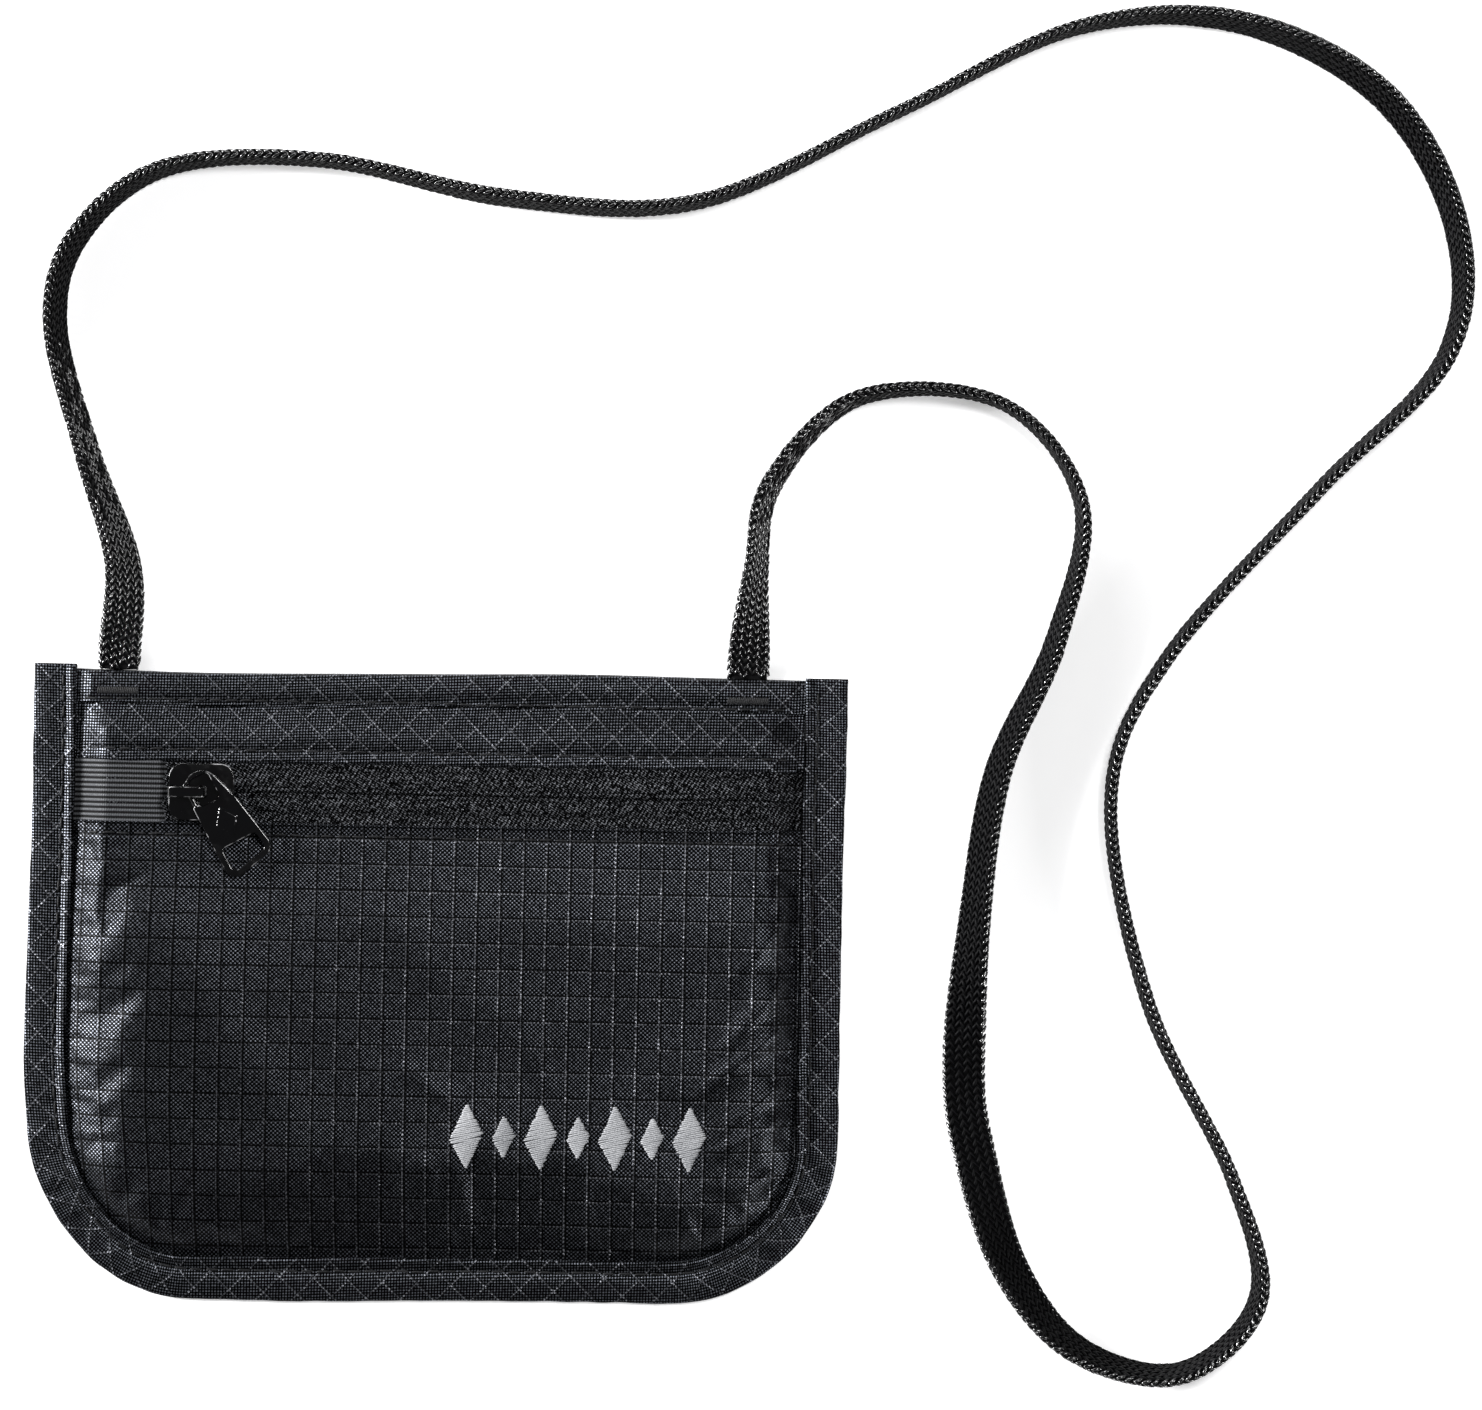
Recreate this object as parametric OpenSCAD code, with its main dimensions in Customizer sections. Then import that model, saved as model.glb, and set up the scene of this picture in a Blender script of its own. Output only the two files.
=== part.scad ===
// Neck pouch wallet: a flat zipped pouch of ripstop cloth on a knitted neck cord.
// The pouch lies on its back: X across, Y up the pouch towards the cord, Z out of the front.
// The origin is the middle of the back, on the surface the pouch lies on.

/* [Pouch] */
// Width over the side binding
pouch_w = 140; // [112:1:170]
// Height, from the bottom edge to the tips of the side binding
pouch_h = 110; // [90:1:135]
// How far the side binding's ends stand above the top edge
binding_rise = 1.5; // [0:0.1:3]
// Radius of the two bottom corners
corner_r = 28; // [20:1:34]
// Height of the front face above the surface
front_z = 5.2; // [4.4:0.1:6.5]
// Thickness of the ripstop cloth
cloth_t = 0.3; // [0.2:0.05:0.4]
// Width of the slope between the seam and the front face
slope_w = 6; // [4:0.5:9]

/* [Binding] */
// Visible width of the side and bottom binding
side_binding_w = 7.4; // [6:0.1:9]
// Visible width of the top binding
top_binding_w = 5.7; // [4.5:0.1:7]
// Thickness of one flap of binding
binding_t = 0.4; // [0.3:0.05:0.5]
// Height of the top seam, where the cord is sewn in
top_seam_z = 2.6; // [2.3:0.1:3]

/* [Zip] */
// Distance from the top edge to the middle of the zip
zip_drop = 21; // [19:0.5:24]
// Gap between the slider and the folded edge on each side of it
fold_gap = 0.6; // [0.4:0.1:1.5]
// How far each zip tape reaches under its folded edge
tape_hold = 2.9; // [2:0.1:4]
// Thickness of the zip tape
tape_t = 0.55; // [0.4:0.05:0.6]
// Width of one row of coil
coil_w = 2.5; // [2:0.1:3.2]
// Height of the coil under the tape
coil_h = 1.7; // [1.3:0.1:1.8]
// Width of the slit between the two rows
slit_w = 1.2; // [1:0.1:1.6]
// Width of the ribbed tab at the closed end
tab_w = 17.2; // [12:0.1:20]

/* [Slider] */
// Length of the slider along the zip
slider_l = 11.3; // [9:0.1:14]
// Width of each rail beside the coils
rail_w = 1.1; // [0.8:0.1:1.4]
// Thickness of the slider's top and bottom plates
plate_t = 1; // [0.8:0.1:1]
// Distance between the outsides of the bridge's legs
bridge_l = 6.4; // [5:0.1:8]
// Thickness of the bridge
bridge_t = 1.1; // [0.9:0.1:1.4]
// Length of the pull from the eye to the free end
pull_l = 19.5; // [17:0.1:24]
// Thickness of the pull
pull_t = 1.1; // [0.9:0.1:1.4]
// Angle that the pull hangs at, away from straight across the zip
pull_angle = 28.6; // [20:0.1:35]

/* [Cord] */
// Width of the flat knitted cord
cord_w = 7.5; // [6:0.1:9]
// Thickness of the cord
cord_t = 1.8; // [1.5:0.1:2.4]
// Length of cord sewn in behind the top edge
tail_l = 9.5; // [7:0.5:12]

/* [Hidden] */
$fn = 48;
eps = 0.01;

// Outline of the pouch
half_w = pouch_w / 2;
half_h = pouch_h / 2;
top_y = half_h - binding_rise;
top_in = top_y - binding_t;
binding_y = top_y - top_binding_w;

// Heights of the layers in the seam, from the surface up
back_lo = binding_t;
back_hi = back_lo + cloth_t;
flange_lo = back_hi + cloth_t;
flange_hi = flange_lo + cloth_t;
dish_t = 0.5;

// The slope from the seam to the front face
slope_in = side_binding_w + 0.2;
slope_steps = 6;
strip_slope_w = 6;

// The zip, with room for the slider to run round the tapes and coils
run_gap = 0.25;
rail_in = slit_w / 2 + coil_w + run_gap;
slider_w = 2 * (rail_in + rail_w + 0.45);
zip_gap = slider_w + 2 * fold_gap;
tape_w = (zip_gap - slit_w) / 2 + tape_hold;
zip_y = top_y - zip_drop;
strip_y = zip_y + zip_gap / 2;
panel_y = zip_y - zip_gap / 2;
coil_end = half_w - slope_in - slope_w * 4 / slope_steps;
tape_top = front_z - cloth_t;
tape_lo = tape_top - tape_t;
coil_lo = tape_lo - coil_h;

// The slider
slider_x = -half_w + 23.4;
plate_lo = tape_top + run_gap;
plate_hi = plate_lo + plate_t;
foot_hi = coil_lo - run_gap;
foot_lo = foot_hi - plate_t;
post_w = slit_w - 2 * run_gap;
bridge_x = slider_x + 3.2;
bridge_w = 1.8;
leg_sink = 0.5;

// The pull turns about the side of its eye, which passes under the bridge
eye_bar = 1.2;
eye_swing = norm([eye_bar, pull_t]) / 2;
eye_rim = 1;
eye_reach = (bridge_l / 2 - 0.3) * cos(pull_angle) + bridge_w / 2 * sin(pull_angle);
eye_hole_w = eye_reach - eye_bar / 2 + 1.5;
eye_r = (eye_hole_w + eye_bar + eye_rim) / 2;
eye_high = bridge_w / 2 / cos(pull_angle) + 0.6;
eye_low = -3.4;
eye_top = eye_high + 0.9;
pull_x = bridge_x + 0.3;
pull_y = zip_y;
pull_z = plate_hi + 0.12 + eye_swing;
bridge_lo = pull_z + eye_swing + 0.2;
bridge_hi = bridge_lo + bridge_t;

// Seams and stitching
thread_w = 0.4;
thread_h = 0.25;
side_stitch = side_binding_w - 2;
edge_stitch = 1.8;
tack_l = 7;
tack_w = 1.2;
tack_h = 0.3;
roll_w = 0.9;
roll_h = 0.5;

// The row of stitched diamonds
emblem_x = half_w - 45;
emblem_y = -half_h + 29;
emblem_n = 7;
emblem_step = 6.4;
emblem_h = 0.3;

// The cord: where its ends are sewn in, and how high it lies
cord_left_x = -half_w + 14;
cord_right_x = half_w - 17;
tail_t = 1;
cord_lift = 0.1;
cord_sides = 10;

// Points of the cord from its left end to its right end, as [x, y, roll] from each end's seam.
// A roll of 0 lies flat; a positive roll lifts the left edge, as seen along the cord.
cord_route = [
  [-56, 53.5, 0], [-56, 57, 8], [-55.6, 72, 42], [-62, 91, 65], [-67.9, 113, 70],
  [-64, 128.5, 74], [-49, 140.3, 82], [-22, 142, 85], [10, 136, 80], [43, 136, 84], [77, 152, 89],
  [108, 167.2, 86], [136, 168.6, 74], [161, 156.4, 64], [174, 134, 70], [172.4, 111, 77], [151, 88, 84],
  [125, 58, 85], [116, 34, 88], [123, -1, 85], [138, -31, 85], [143, -52, 78], [130, -65, 74],
  [112, -61.4, 60], [100, -47.4, 32], [93.4, -27, 4], [91.5, -13, -4], [92.7, 11, -46], [96.4, 38, -58],
  [106, 61, -70], [110, 85, -83], [96, 102, -88], [71.5, 102.6, -80], [56.6, 87.6, -68], [54, 72, -60],
  [53, 57, -8], [53, 53.5, 0]
];

// Height of the front face at a distance x from the middle
function rise(t) = (1 - cos(180 * min(max(t, 0), 1))) / 2;
function face_z(x) =
  flange_hi + (front_z - flange_hi) * rise((half_w - abs(x) - slope_in) / slope_w);

// Height of the top strip at a distance y up the pouch
function strip_z(y) =
  top_seam_z + (front_z - top_seam_z) * rise((binding_y - y) / strip_slope_w);

// Stations across the pouch, from -x_end to x_end, where the slope changes
function slope_x() = [for (i = [0:slope_steps]) half_w - slope_in - slope_w * i / slope_steps];
function stations(x_end) = concat(
  [-x_end],
  [for (x = slope_x()) if (x < x_end - eps) -x],
  [for (i = [slope_steps:-1:0]) if (slope_x()[i] < x_end - eps) slope_x()[i]],
  [x_end]
);

// A band across the pouch that follows the front face, from y_lo to y_hi.
// Its top is `over` above the face, and it is `thick` deep but never below `floor_z`.
module band(x_lo, x_hi, y_lo, y_hi, over, thick, floor_z) {
  x_end = max(abs(x_lo), abs(x_hi));
  xs = stations(x_end);
  top = [for (x = xs) [x, face_z(x) + over]];
  under = [for (i = [len(xs) - 1:-1:0]) [xs[i], max(face_z(xs[i]) + over - thick, floor_z)]];
  intersection() {
    translate([0, y_hi, 0]) rotate([90, 0, 0]) linear_extrude(y_hi - y_lo) polygon(concat(top, under));
    translate([x_lo, y_lo - 1, -1]) cube([x_hi - x_lo, y_hi - y_lo + 2, front_z + 10]);
  }
}

// Everything below the front face shifted by `over`, between y_lo and y_hi, down to z_lo
module below_face(x_end, y_lo, y_hi, over, z_lo) {
  xs = stations(x_end);
  top = [for (x = xs) [x, max(face_z(x) + over, z_lo + eps)]];
  translate([0, y_hi, 0])
    rotate([90, 0, 0])
      linear_extrude(y_hi - y_lo)
        polygon(concat([[-x_end, z_lo]], top, [[x_end, z_lo]]));
}

// Everything below the top strip's slope shifted by `over`, from y_lo up to y_hi
module below_strip(y_lo, y_hi, over, z_lo) {
  ys = [for (i = [0:slope_steps]) binding_y - strip_slope_w * (1 - i / slope_steps)];
  top = [for (y = ys) [y, strip_z(y) + over]];
  side = concat([[y_lo, z_lo], [y_lo, front_z + over]], top, [[y_hi, top_seam_z + over], [y_hi, z_lo]]);
  translate([-half_w, 0, 0]) rotate([90, 0, 90]) linear_extrude(pouch_w) polygon(side);
}

// The pouch's outline moved in by `inset`, cut straight across at y_end
module outline(inset, y_end) {
  r = corner_r - inset;
  cy = corner_r - half_h;
  cx = half_w - corner_r;
  translate([inset - half_w, cy]) square([pouch_w - 2 * inset, y_end - cy]);
  translate([-cx, inset - half_h]) square([2 * cx, r + eps]);
  for (side = [-1, 1]) translate([side * cx, cy]) circle(r, $fn = 96);
}

module outline_ring(outer, inner, y_end) {
  difference() {
    outline(outer, y_end);
    outline(inner, y_end + 1);
  }
}

// The back: one sheet, dished so that its middle lies on the surface inside the binding
module back_panel() {
  color([0.07, 0.08, 0.1]) {
    translate([0, 0, back_lo]) linear_extrude(cloth_t) outline(binding_t, top_in);
    linear_extrude(dish_t) outline(side_binding_w + 0.4, binding_y - 0.2);
  }
}

// One ring of the front panel's surface: down the left side, round the bottom, up the right side
ring_steps = 8;
function ring(inset, z) = concat(
  [[inset - half_w, panel_y, z]],
  [for (i = [0:ring_steps]) let (a = 180 + 90 * i / ring_steps) [
    corner_r - half_w + (corner_r - inset) * cos(a), corner_r - half_h + (corner_r - inset) * sin(a), z]],
  [for (i = [0:ring_steps]) let (a = 270 + 90 * i / ring_steps) [
    half_w - corner_r + (corner_r - inset) * cos(a), corner_r - half_h + (corner_r - inset) * sin(a), z]],
  [[half_w - inset, panel_y, z]]
);
ring_n = 2 * ring_steps + 4;
ring_count = slope_steps + 2;
function ring_inset(k) = k == 0 ? binding_t : slope_in + slope_w * (k - 1) / slope_steps;
function ring_z(k) = k == 0 ? flange_hi : face_z(half_w - ring_inset(k));
function quads(a, b, c, d) = [[a, b, c], [a, c, d]];
function flat(lists) = [for (list = lists) for (item = list) item];

// The front below the zip: a shallow tray, open at its top edge, with the seam all round
module front_panel() {
  outer = [for (k = [0:ring_count - 1]) for (p = ring(ring_inset(k), ring_z(k))) p];
  inner = [
    for (k = [0:ring_count - 1])
      for (p = ring(ring_inset(k), ring_z(k) - cloth_t)) p
  ];
  under = ring_count * ring_n;
  last = ring_n - 1;
  top_ring = (ring_count - 1) * ring_n;
  slopes = flat([
    for (k = [0:ring_count - 2]) for (m = [0:ring_n - 2]) let (a = k * ring_n + m, b = a + ring_n)
      concat(quads(a, b, b + 1, a + 1), quads(under + a, under + a + 1, under + b + 1, under + b))
  ]);
  rim = flat([for (m = [0:ring_n - 2]) quads(m, m + 1, under + m + 1, under + m)]);
  ends = flat([
    for (k = [0:ring_count - 2]) let (a = k * ring_n, b = a + ring_n)
      concat(
        quads(b, a, under + a, under + b),
        quads(a + last, b + last, under + b + last, under + a + last)
      )
  ]);
  mouth = quads(top_ring + last, top_ring, under + top_ring, under + top_ring + last);
  face = [[for (m = [last:-1:0]) top_ring + m]];
  lining = [[for (m = [0:last]) under + top_ring + m]];
  color([0.08, 0.09, 0.11])
    polyhedron(concat(outer, inner), concat(slopes, rim, ends, mouth, face, lining), convexity = 4);
}

// A slot for one sewn-in end of the cord, cut through the top seam
module cord_slot(x) {
  translate([x - cord_w / 2 - 0.1, top_y - tail_l - 1, back_hi - eps])
    cube([cord_w + 0.2, tail_l + 2, tail_t + 0.1]);
}

// The bias strip above the zip, which slopes down to the top seam
module top_strip() {
  color([0.09, 0.1, 0.12])
    difference() {
      intersection() {
        below_face(half_w - binding_t, strip_y, top_in, 0, flange_lo);
        below_strip(strip_y, top_in, 0, flange_lo);
      }
      intersection() {
        below_face(half_w - slope_in, strip_y - 1, binding_y - 0.3, -cloth_t, 0);
        below_strip(strip_y - 1, binding_y, -cloth_t, 0);
        translate([-half_w, 0, flange_lo - 1]) cube([pouch_w, binding_y - 0.3, front_z]);
      }
      cord_slot(cord_left_x);
      cord_slot(cord_right_x);
    }
}

// The binding down both sides and round the bottom: a folded strip with a rolled inner edge
module side_binding() {
  color([0.1, 0.11, 0.13]) {
    difference() {
      linear_extrude(flange_hi + binding_t) outline_ring(0, side_binding_w, half_h);
      translate([0, 0, back_lo]) linear_extrude(flange_hi - back_lo) outline(binding_t, half_h + 1);
    }
    translate([0, 0, flange_hi + binding_t])
      linear_extrude(roll_h) outline_ring(side_binding_w - roll_w, side_binding_w, half_h);
  }
}

// The binding along the top edge, folded over the seam, with a gap in the fold for each cord end
module top_binding() {
  x_end = half_w - slope_in;
  color([0.1, 0.11, 0.13])
    difference() {
      intersection() {
        below_face(x_end, binding_y, top_y, binding_t, 0);
        translate([-half_w, 0, 0]) cube([pouch_w, half_h, top_seam_z + binding_t]);
      }
      intersection() {
        below_face(x_end + 1, binding_y - 1, top_in, 0, back_lo);
        translate([-half_w, 0, 0]) cube([pouch_w, half_h, top_seam_z]);
      }
      cord_slot(cord_left_x);
      cord_slot(cord_right_x);
    }
}

// The two zip tapes, caught in the side seams and lying under the folded edges
module zip_tape(side) {
  near = zip_y + side * slit_w / 2;
  far = near + side * tape_w;
  band(binding_t - half_w, half_w - binding_t, min(near, far), max(near, far), -cloth_t, tape_t, back_hi);
}

module zip_tape_upper() {
  color([0.05, 0.05, 0.06]) zip_tape(1);
}

module zip_tape_lower() {
  color([0.05, 0.05, 0.06]) zip_tape(-1);
}

// The coils, sewn to the inside of the tapes
module zip_coil(side) {
  near = zip_y + side * slit_w / 2;
  far = near + side * coil_w;
  band(-coil_end, coil_end, min(near, far), max(near, far), -cloth_t - tape_t, coil_h, back_hi);
}

module zip_coil_upper() {
  color([0.04, 0.04, 0.05]) zip_coil(1);
}

module zip_coil_lower() {
  color([0.04, 0.04, 0.05]) zip_coil(-1);
}

// The ribbed tab over the closed end of the zip
module zip_end_tab() {
  x_lo = -half_w + 6;
  room = 0.35;
  color([0.06, 0.06, 0.07])
    band(x_lo, x_lo + tab_w, panel_y + room, strip_y - room, 0, cloth_t, flange_lo);
}

// Raised lines of stitching
module thread_side() {
  color([0.12, 0.12, 0.14])
    translate([0, 0, flange_hi + binding_t])
      linear_extrude(thread_h) outline_ring(side_stitch - thread_w, side_stitch, half_h - 2);
}

module thread_top() {
  x_end = half_w - slope_in;
  y_lo = binding_y + 0.3;
  color([0.12, 0.12, 0.14])
    difference() {
      intersection() {
        below_face(x_end, y_lo, y_lo + thread_w, binding_t + thread_h, flange_lo);
        translate([-half_w, 0, 0]) cube([pouch_w, half_h, top_seam_z + binding_t + thread_h]);
      }
      intersection() {
        below_face(x_end + 1, y_lo - 1, y_lo + thread_w + 1, binding_t, 0);
        translate([-half_w, 0, 0]) cube([pouch_w, half_h, top_seam_z + binding_t]);
      }
    }
}

module thread_zip(y) {
  x_end = half_w - slope_in;
  color([0.12, 0.12, 0.14])
    band(-x_end, x_end, y - thread_w / 2, y + thread_w / 2, thread_h, thread_h, flange_lo);
}

module thread_zip_upper() {
  thread_zip(strip_y + edge_stitch);
}

module thread_zip_lower() {
  thread_zip(panel_y - edge_stitch);
}

// Close stitching across each end of the cord
module bar_tacks() {
  color([0.14, 0.14, 0.16])
    for (x = [cord_left_x, cord_right_x])
      translate([x - tack_l / 2, binding_y + 1.4, top_seam_z + binding_t]) cube([tack_l, tack_w, tack_h]);
}

// A row of satin-stitched diamonds, alternately large and small
module emblem() {
  color([0.6, 0.62, 0.64])
    for (i = [0:emblem_n - 1]) {
      w = i % 2 == 0 ? 5.6 : 3.8;
      h = i % 2 == 0 ? 11 : 7;
      translate([emblem_x + (i - (emblem_n - 1) / 2) * emblem_step, emblem_y, front_z])
        linear_extrude(emblem_h) polygon([[-w / 2, 0], [0, -h / 2], [w / 2, 0], [0, h / 2]]);
    }
}

// Outline of the slider's plates: a rounded nose on the left, straight sides, rounded tail
module slider_outline(margin) {
  r = 2.4;
  l = slider_l - margin;
  w = slider_w - 2 * margin;
  translate([slider_x, zip_y])
    intersection() {
      translate([0, -w / 2]) square([l, w]);
      union() {
        translate([r, -w / 2]) square([l - 2 * r, w]);
        translate([0, r - w / 2]) square([l, w - 2 * r]);
        for (x = [r, l - r]) for (y = [-1, 1]) translate([x, y * (w / 2 - r)]) circle(r);
      }
    }
}

// The slider: two plates joined by a post that runs in the slit, with rails beside the coils
module slider_body() {
  color([0.03, 0.03, 0.03])
    difference() {
      union() {
        translate([0, 0, plate_lo]) linear_extrude(plate_t) slider_outline(0);
        translate([0, 0, foot_lo]) linear_extrude(plate_t) slider_outline(0.3);
        for (side = [-1, 1])
          translate([slider_x + 2, zip_y + side * (rail_in + rail_w / 2) - rail_w / 2, foot_hi - 0.2])
            cube([slider_l - 4, rail_w, tape_lo - run_gap - foot_hi + 0.2]);
        translate([slider_x + 0.8, zip_y - post_w / 2, foot_lo + 0.2])
          cube([3, post_w, plate_hi - foot_lo - 0.4]);
      }
      bridge_legs();
    }
}

module bridge_legs() {
  for (side = [-1, 1])
    translate([bridge_x + side * (bridge_l - bridge_t) / 2 - bridge_t / 2, zip_y - bridge_w / 2,
               plate_hi - leg_sink])
      cube([bridge_t, bridge_w, bridge_lo - plate_hi + leg_sink + 0.2]);
}

// The bridge over the pull's eye, with its legs staked into the top plate
module slider_bridge() {
  r = 1;
  color([0.03, 0.03, 0.03]) {
    bridge_legs();
    translate([bridge_x, zip_y + bridge_w / 2, bridge_lo])
      rotate([90, 0, 0])
        linear_extrude(bridge_w) {
          translate([r - bridge_l / 2, 0]) square([bridge_l - 2 * r, bridge_t]);
          translate([-bridge_l / 2, 0]) square([bridge_l, bridge_t - r + eps]);
          for (side = [-1, 1]) translate([side * (bridge_l / 2 - r), bridge_t - r]) circle(r);
        }
  }
}

// A rectangle with rounded corners, from [x0, y0] to [x1, y1]
module rounded(x0, y0, x1, y1, r) {
  translate([x0 + r, y0]) square([x1 - x0 - 2 * r, y1 - y0]);
  translate([x0, y0 + r]) square([x1 - x0, y1 - y0 - 2 * r]);
  for (x = [x0 + r, x1 - r]) for (y = [y0 + r, y1 - r]) translate([x, y]) circle(r);
}

// The pull's outline: an eye, a tab that widens, and a window near the free end.
// It hangs down from the turning axis, x = 0, which is the middle of the eye's left side.
module pull_outline() {
  left = -eye_bar / 2;
  end_r = 2;
  end_y = eye_top - pull_l;
  difference() {
    hull() {
      translate([left + eye_r, eye_top - eye_r]) circle(eye_r);
      translate([left + 2 * eye_r + 0.7, -5]) circle(0.8);
      translate([left + end_r, end_y + end_r]) circle(end_r);
      translate([left + 2 * eye_r + 1.05, end_y + end_r + 1.1]) circle(end_r);
    }
    rounded(eye_bar / 2, eye_low, eye_bar / 2 + eye_hole_w, eye_high, 0.8);
    hull() {
      translate([left + 1.7, end_y + 5]) circle(0.5);
      translate([left + 2 * eye_r + 1.1, end_y + 5]) circle(0.5);
      translate([left + 2.2, end_y + 2.1]) circle(1);
      translate([left + 2 * eye_r + 0.9, end_y + 3.1]) circle(1);
    }
    translate([left - 1, eye_low + 0.4]) square([eye_bar + 1, eye_high - eye_low - 0.8]);
  }
}

// The pull, with a round side to its eye where it turns under the bridge
module pull_tab() {
  color([0.02, 0.02, 0.02])
    translate([pull_x, pull_y, pull_z])
      rotate([0, 0, pull_angle]) {
        translate([0, 0, -pull_t / 2]) linear_extrude(pull_t) pull_outline();
        translate([0, eye_high - 0.1, 0])
          rotate([90, 0, 0]) cylinder(h = eye_high - eye_low - 0.2, r = pull_t / 2 - 0.05);
        translate([eye_r + 0.5, -7.6, pull_t / 2])
          linear_extrude(0.2) polygon([[-1.9, 0], [0, -2.6], [1.9, 0], [0, 2.6]]);
      }
}

// A flat sewn-in end of the cord, between the back and the top strip
module cord_end(x) {
  color([0.03, 0.03, 0.03])
    translate([x - cord_w / 2, top_y - tail_l, back_hi]) cube([cord_w, tail_l, tail_t]);
}

module cord_end_left() {
  cord_end(cord_left_x);
}

module cord_end_right() {
  cord_end(cord_right_x);
}

// The cord's route follows the pouch when the pouch changes size
route_n = len(cord_route);
function moved(p, i) = let (s = i / (route_n - 1)) [
  p[0] + (1 - s) * (cord_left_x + 56) + s * (cord_right_x - 53), p[1] + top_y - 53.5, p[2]];
route = [for (i = [0:route_n - 1]) moved(cord_route[i], i)];
function at(i) = route[min(max(i, 0), route_n - 1)];
function curve(p0, p1, p2, p3, t) =
  0.5 * (2 * p1 + (p2 - p0) * t + (2 * p0 - 5 * p1 + 4 * p2 - p3) * t * t
    + (3 * p1 - p0 - 3 * p2 + p3) * t * t * t);
cord_line = concat(
  [for (i = [0:route_n - 2]) for (t = [0, 0.5]) curve(at(i - 1), at(i), at(i + 1), at(i + 2), t)],
  [route[route_n - 1]]
);
cord_rings = len(cord_line);
function cord_dir(i) =
  let (d = cord_line[min(i + 1, cord_rings - 1)] - cord_line[max(i - 1, 0)])
    i == 0 || i == cord_rings - 1 ? [0, sign(d[1])] : [d[0], d[1]] / norm([d[0], d[1]]);
function cord_ring(i) =
  let (
    p = cord_line[i],
    d = cord_dir(i),
    roll = p[2],
    across = [-d[1] * cos(roll), d[0] * cos(roll), sin(roll)],
    through = [d[1] * sin(roll), -d[0] * sin(roll), cos(roll)],
    z = norm([cord_w / 2 * sin(roll), cord_t / 2 * cos(roll)]) + cord_lift
  )
  [
    for (k = [0:cord_sides - 1]) let (a = 360 * (k + 0.5) / cord_sides)
      [p[0], p[1], z] + across * cos(a) * cord_w / 2 + through * sin(a) * cord_t / 2
  ];

// The neck cord, from seam to seam, lying in loops beside the pouch
module neck_cord() {
  points = [for (i = [0:cord_rings - 1]) for (p = cord_ring(i)) p];
  walls = flat([
    for (i = [0:cord_rings - 2]) for (k = [0:cord_sides - 1])
      let (a = i * cord_sides + k, b = i * cord_sides + (k + 1) % cord_sides)
        quads(a, b, b + cord_sides, a + cord_sides)
  ]);
  first = [[for (k = [cord_sides - 1:-1:0]) k]];
  last = [[for (k = [0:cord_sides - 1]) (cord_rings - 1) * cord_sides + k]];
  color([0.03, 0.03, 0.03]) polyhedron(points, concat(walls, first, last), convexity = 10);
}

back_panel();
front_panel();
top_strip();
side_binding();
top_binding();
zip_tape_upper();
zip_tape_lower();
zip_coil_upper();
zip_coil_lower();
zip_end_tab();
thread_side();
thread_top();
thread_zip_upper();
thread_zip_lower();
bar_tacks();
emblem();
slider_body();
slider_bridge();
pull_tab();
cord_end_left();
cord_end_right();
neck_cord();
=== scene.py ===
"""Looks of the neck pouch wallet: a ripstop pouch with a zip, on a flat knitted neck cord.

Lengths are in millimetres; meshes are scaled to metres as they are made.
"""

import math

import bmesh
import bpy
import numpy as np
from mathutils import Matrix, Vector, geometry
from mathutils.bvhtree import BVHTree


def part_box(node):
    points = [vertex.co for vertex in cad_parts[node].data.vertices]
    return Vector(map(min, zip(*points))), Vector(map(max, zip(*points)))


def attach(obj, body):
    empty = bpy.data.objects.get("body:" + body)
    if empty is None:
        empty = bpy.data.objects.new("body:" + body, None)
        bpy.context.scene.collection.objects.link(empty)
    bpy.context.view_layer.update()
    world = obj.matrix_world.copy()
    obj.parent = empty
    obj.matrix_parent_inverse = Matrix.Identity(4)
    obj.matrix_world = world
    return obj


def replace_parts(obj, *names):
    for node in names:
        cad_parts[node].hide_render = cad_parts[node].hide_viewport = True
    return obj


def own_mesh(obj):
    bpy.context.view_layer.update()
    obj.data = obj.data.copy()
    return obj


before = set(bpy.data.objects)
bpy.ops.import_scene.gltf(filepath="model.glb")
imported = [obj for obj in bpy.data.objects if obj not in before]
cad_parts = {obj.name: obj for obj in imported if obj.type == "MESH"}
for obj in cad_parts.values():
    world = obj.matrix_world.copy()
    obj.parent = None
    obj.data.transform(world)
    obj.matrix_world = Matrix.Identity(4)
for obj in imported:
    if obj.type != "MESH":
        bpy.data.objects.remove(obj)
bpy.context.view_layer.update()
MM = 0.001
PI = math.pi


def mm_box(node):
    """Lowest and highest corners of a CAD node, in millimetres."""
    low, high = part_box(node)
    return np.array(low) / MM, np.array(high) / MM


# ---- sizes read from the frame
SIDE_LO, SIDE_HI = mm_box("side_binding")
TOP_LO, TOP_HI = mm_box("top_binding")
PANEL_HI = mm_box("front_panel")[1]
STRIP_LO = mm_box("top_strip")[0]
UPPER_LO, UPPER_HI = mm_box("zip_tape_upper")
LOWER_LO, LOWER_HI = mm_box("zip_tape_lower")
TAB_LO, TAB_HI = mm_box("zip_end_tab")
BODY_HI = mm_box("slider_body")[1]
EMBLEM_LO, EMBLEM_HI = mm_box("emblem")

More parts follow.
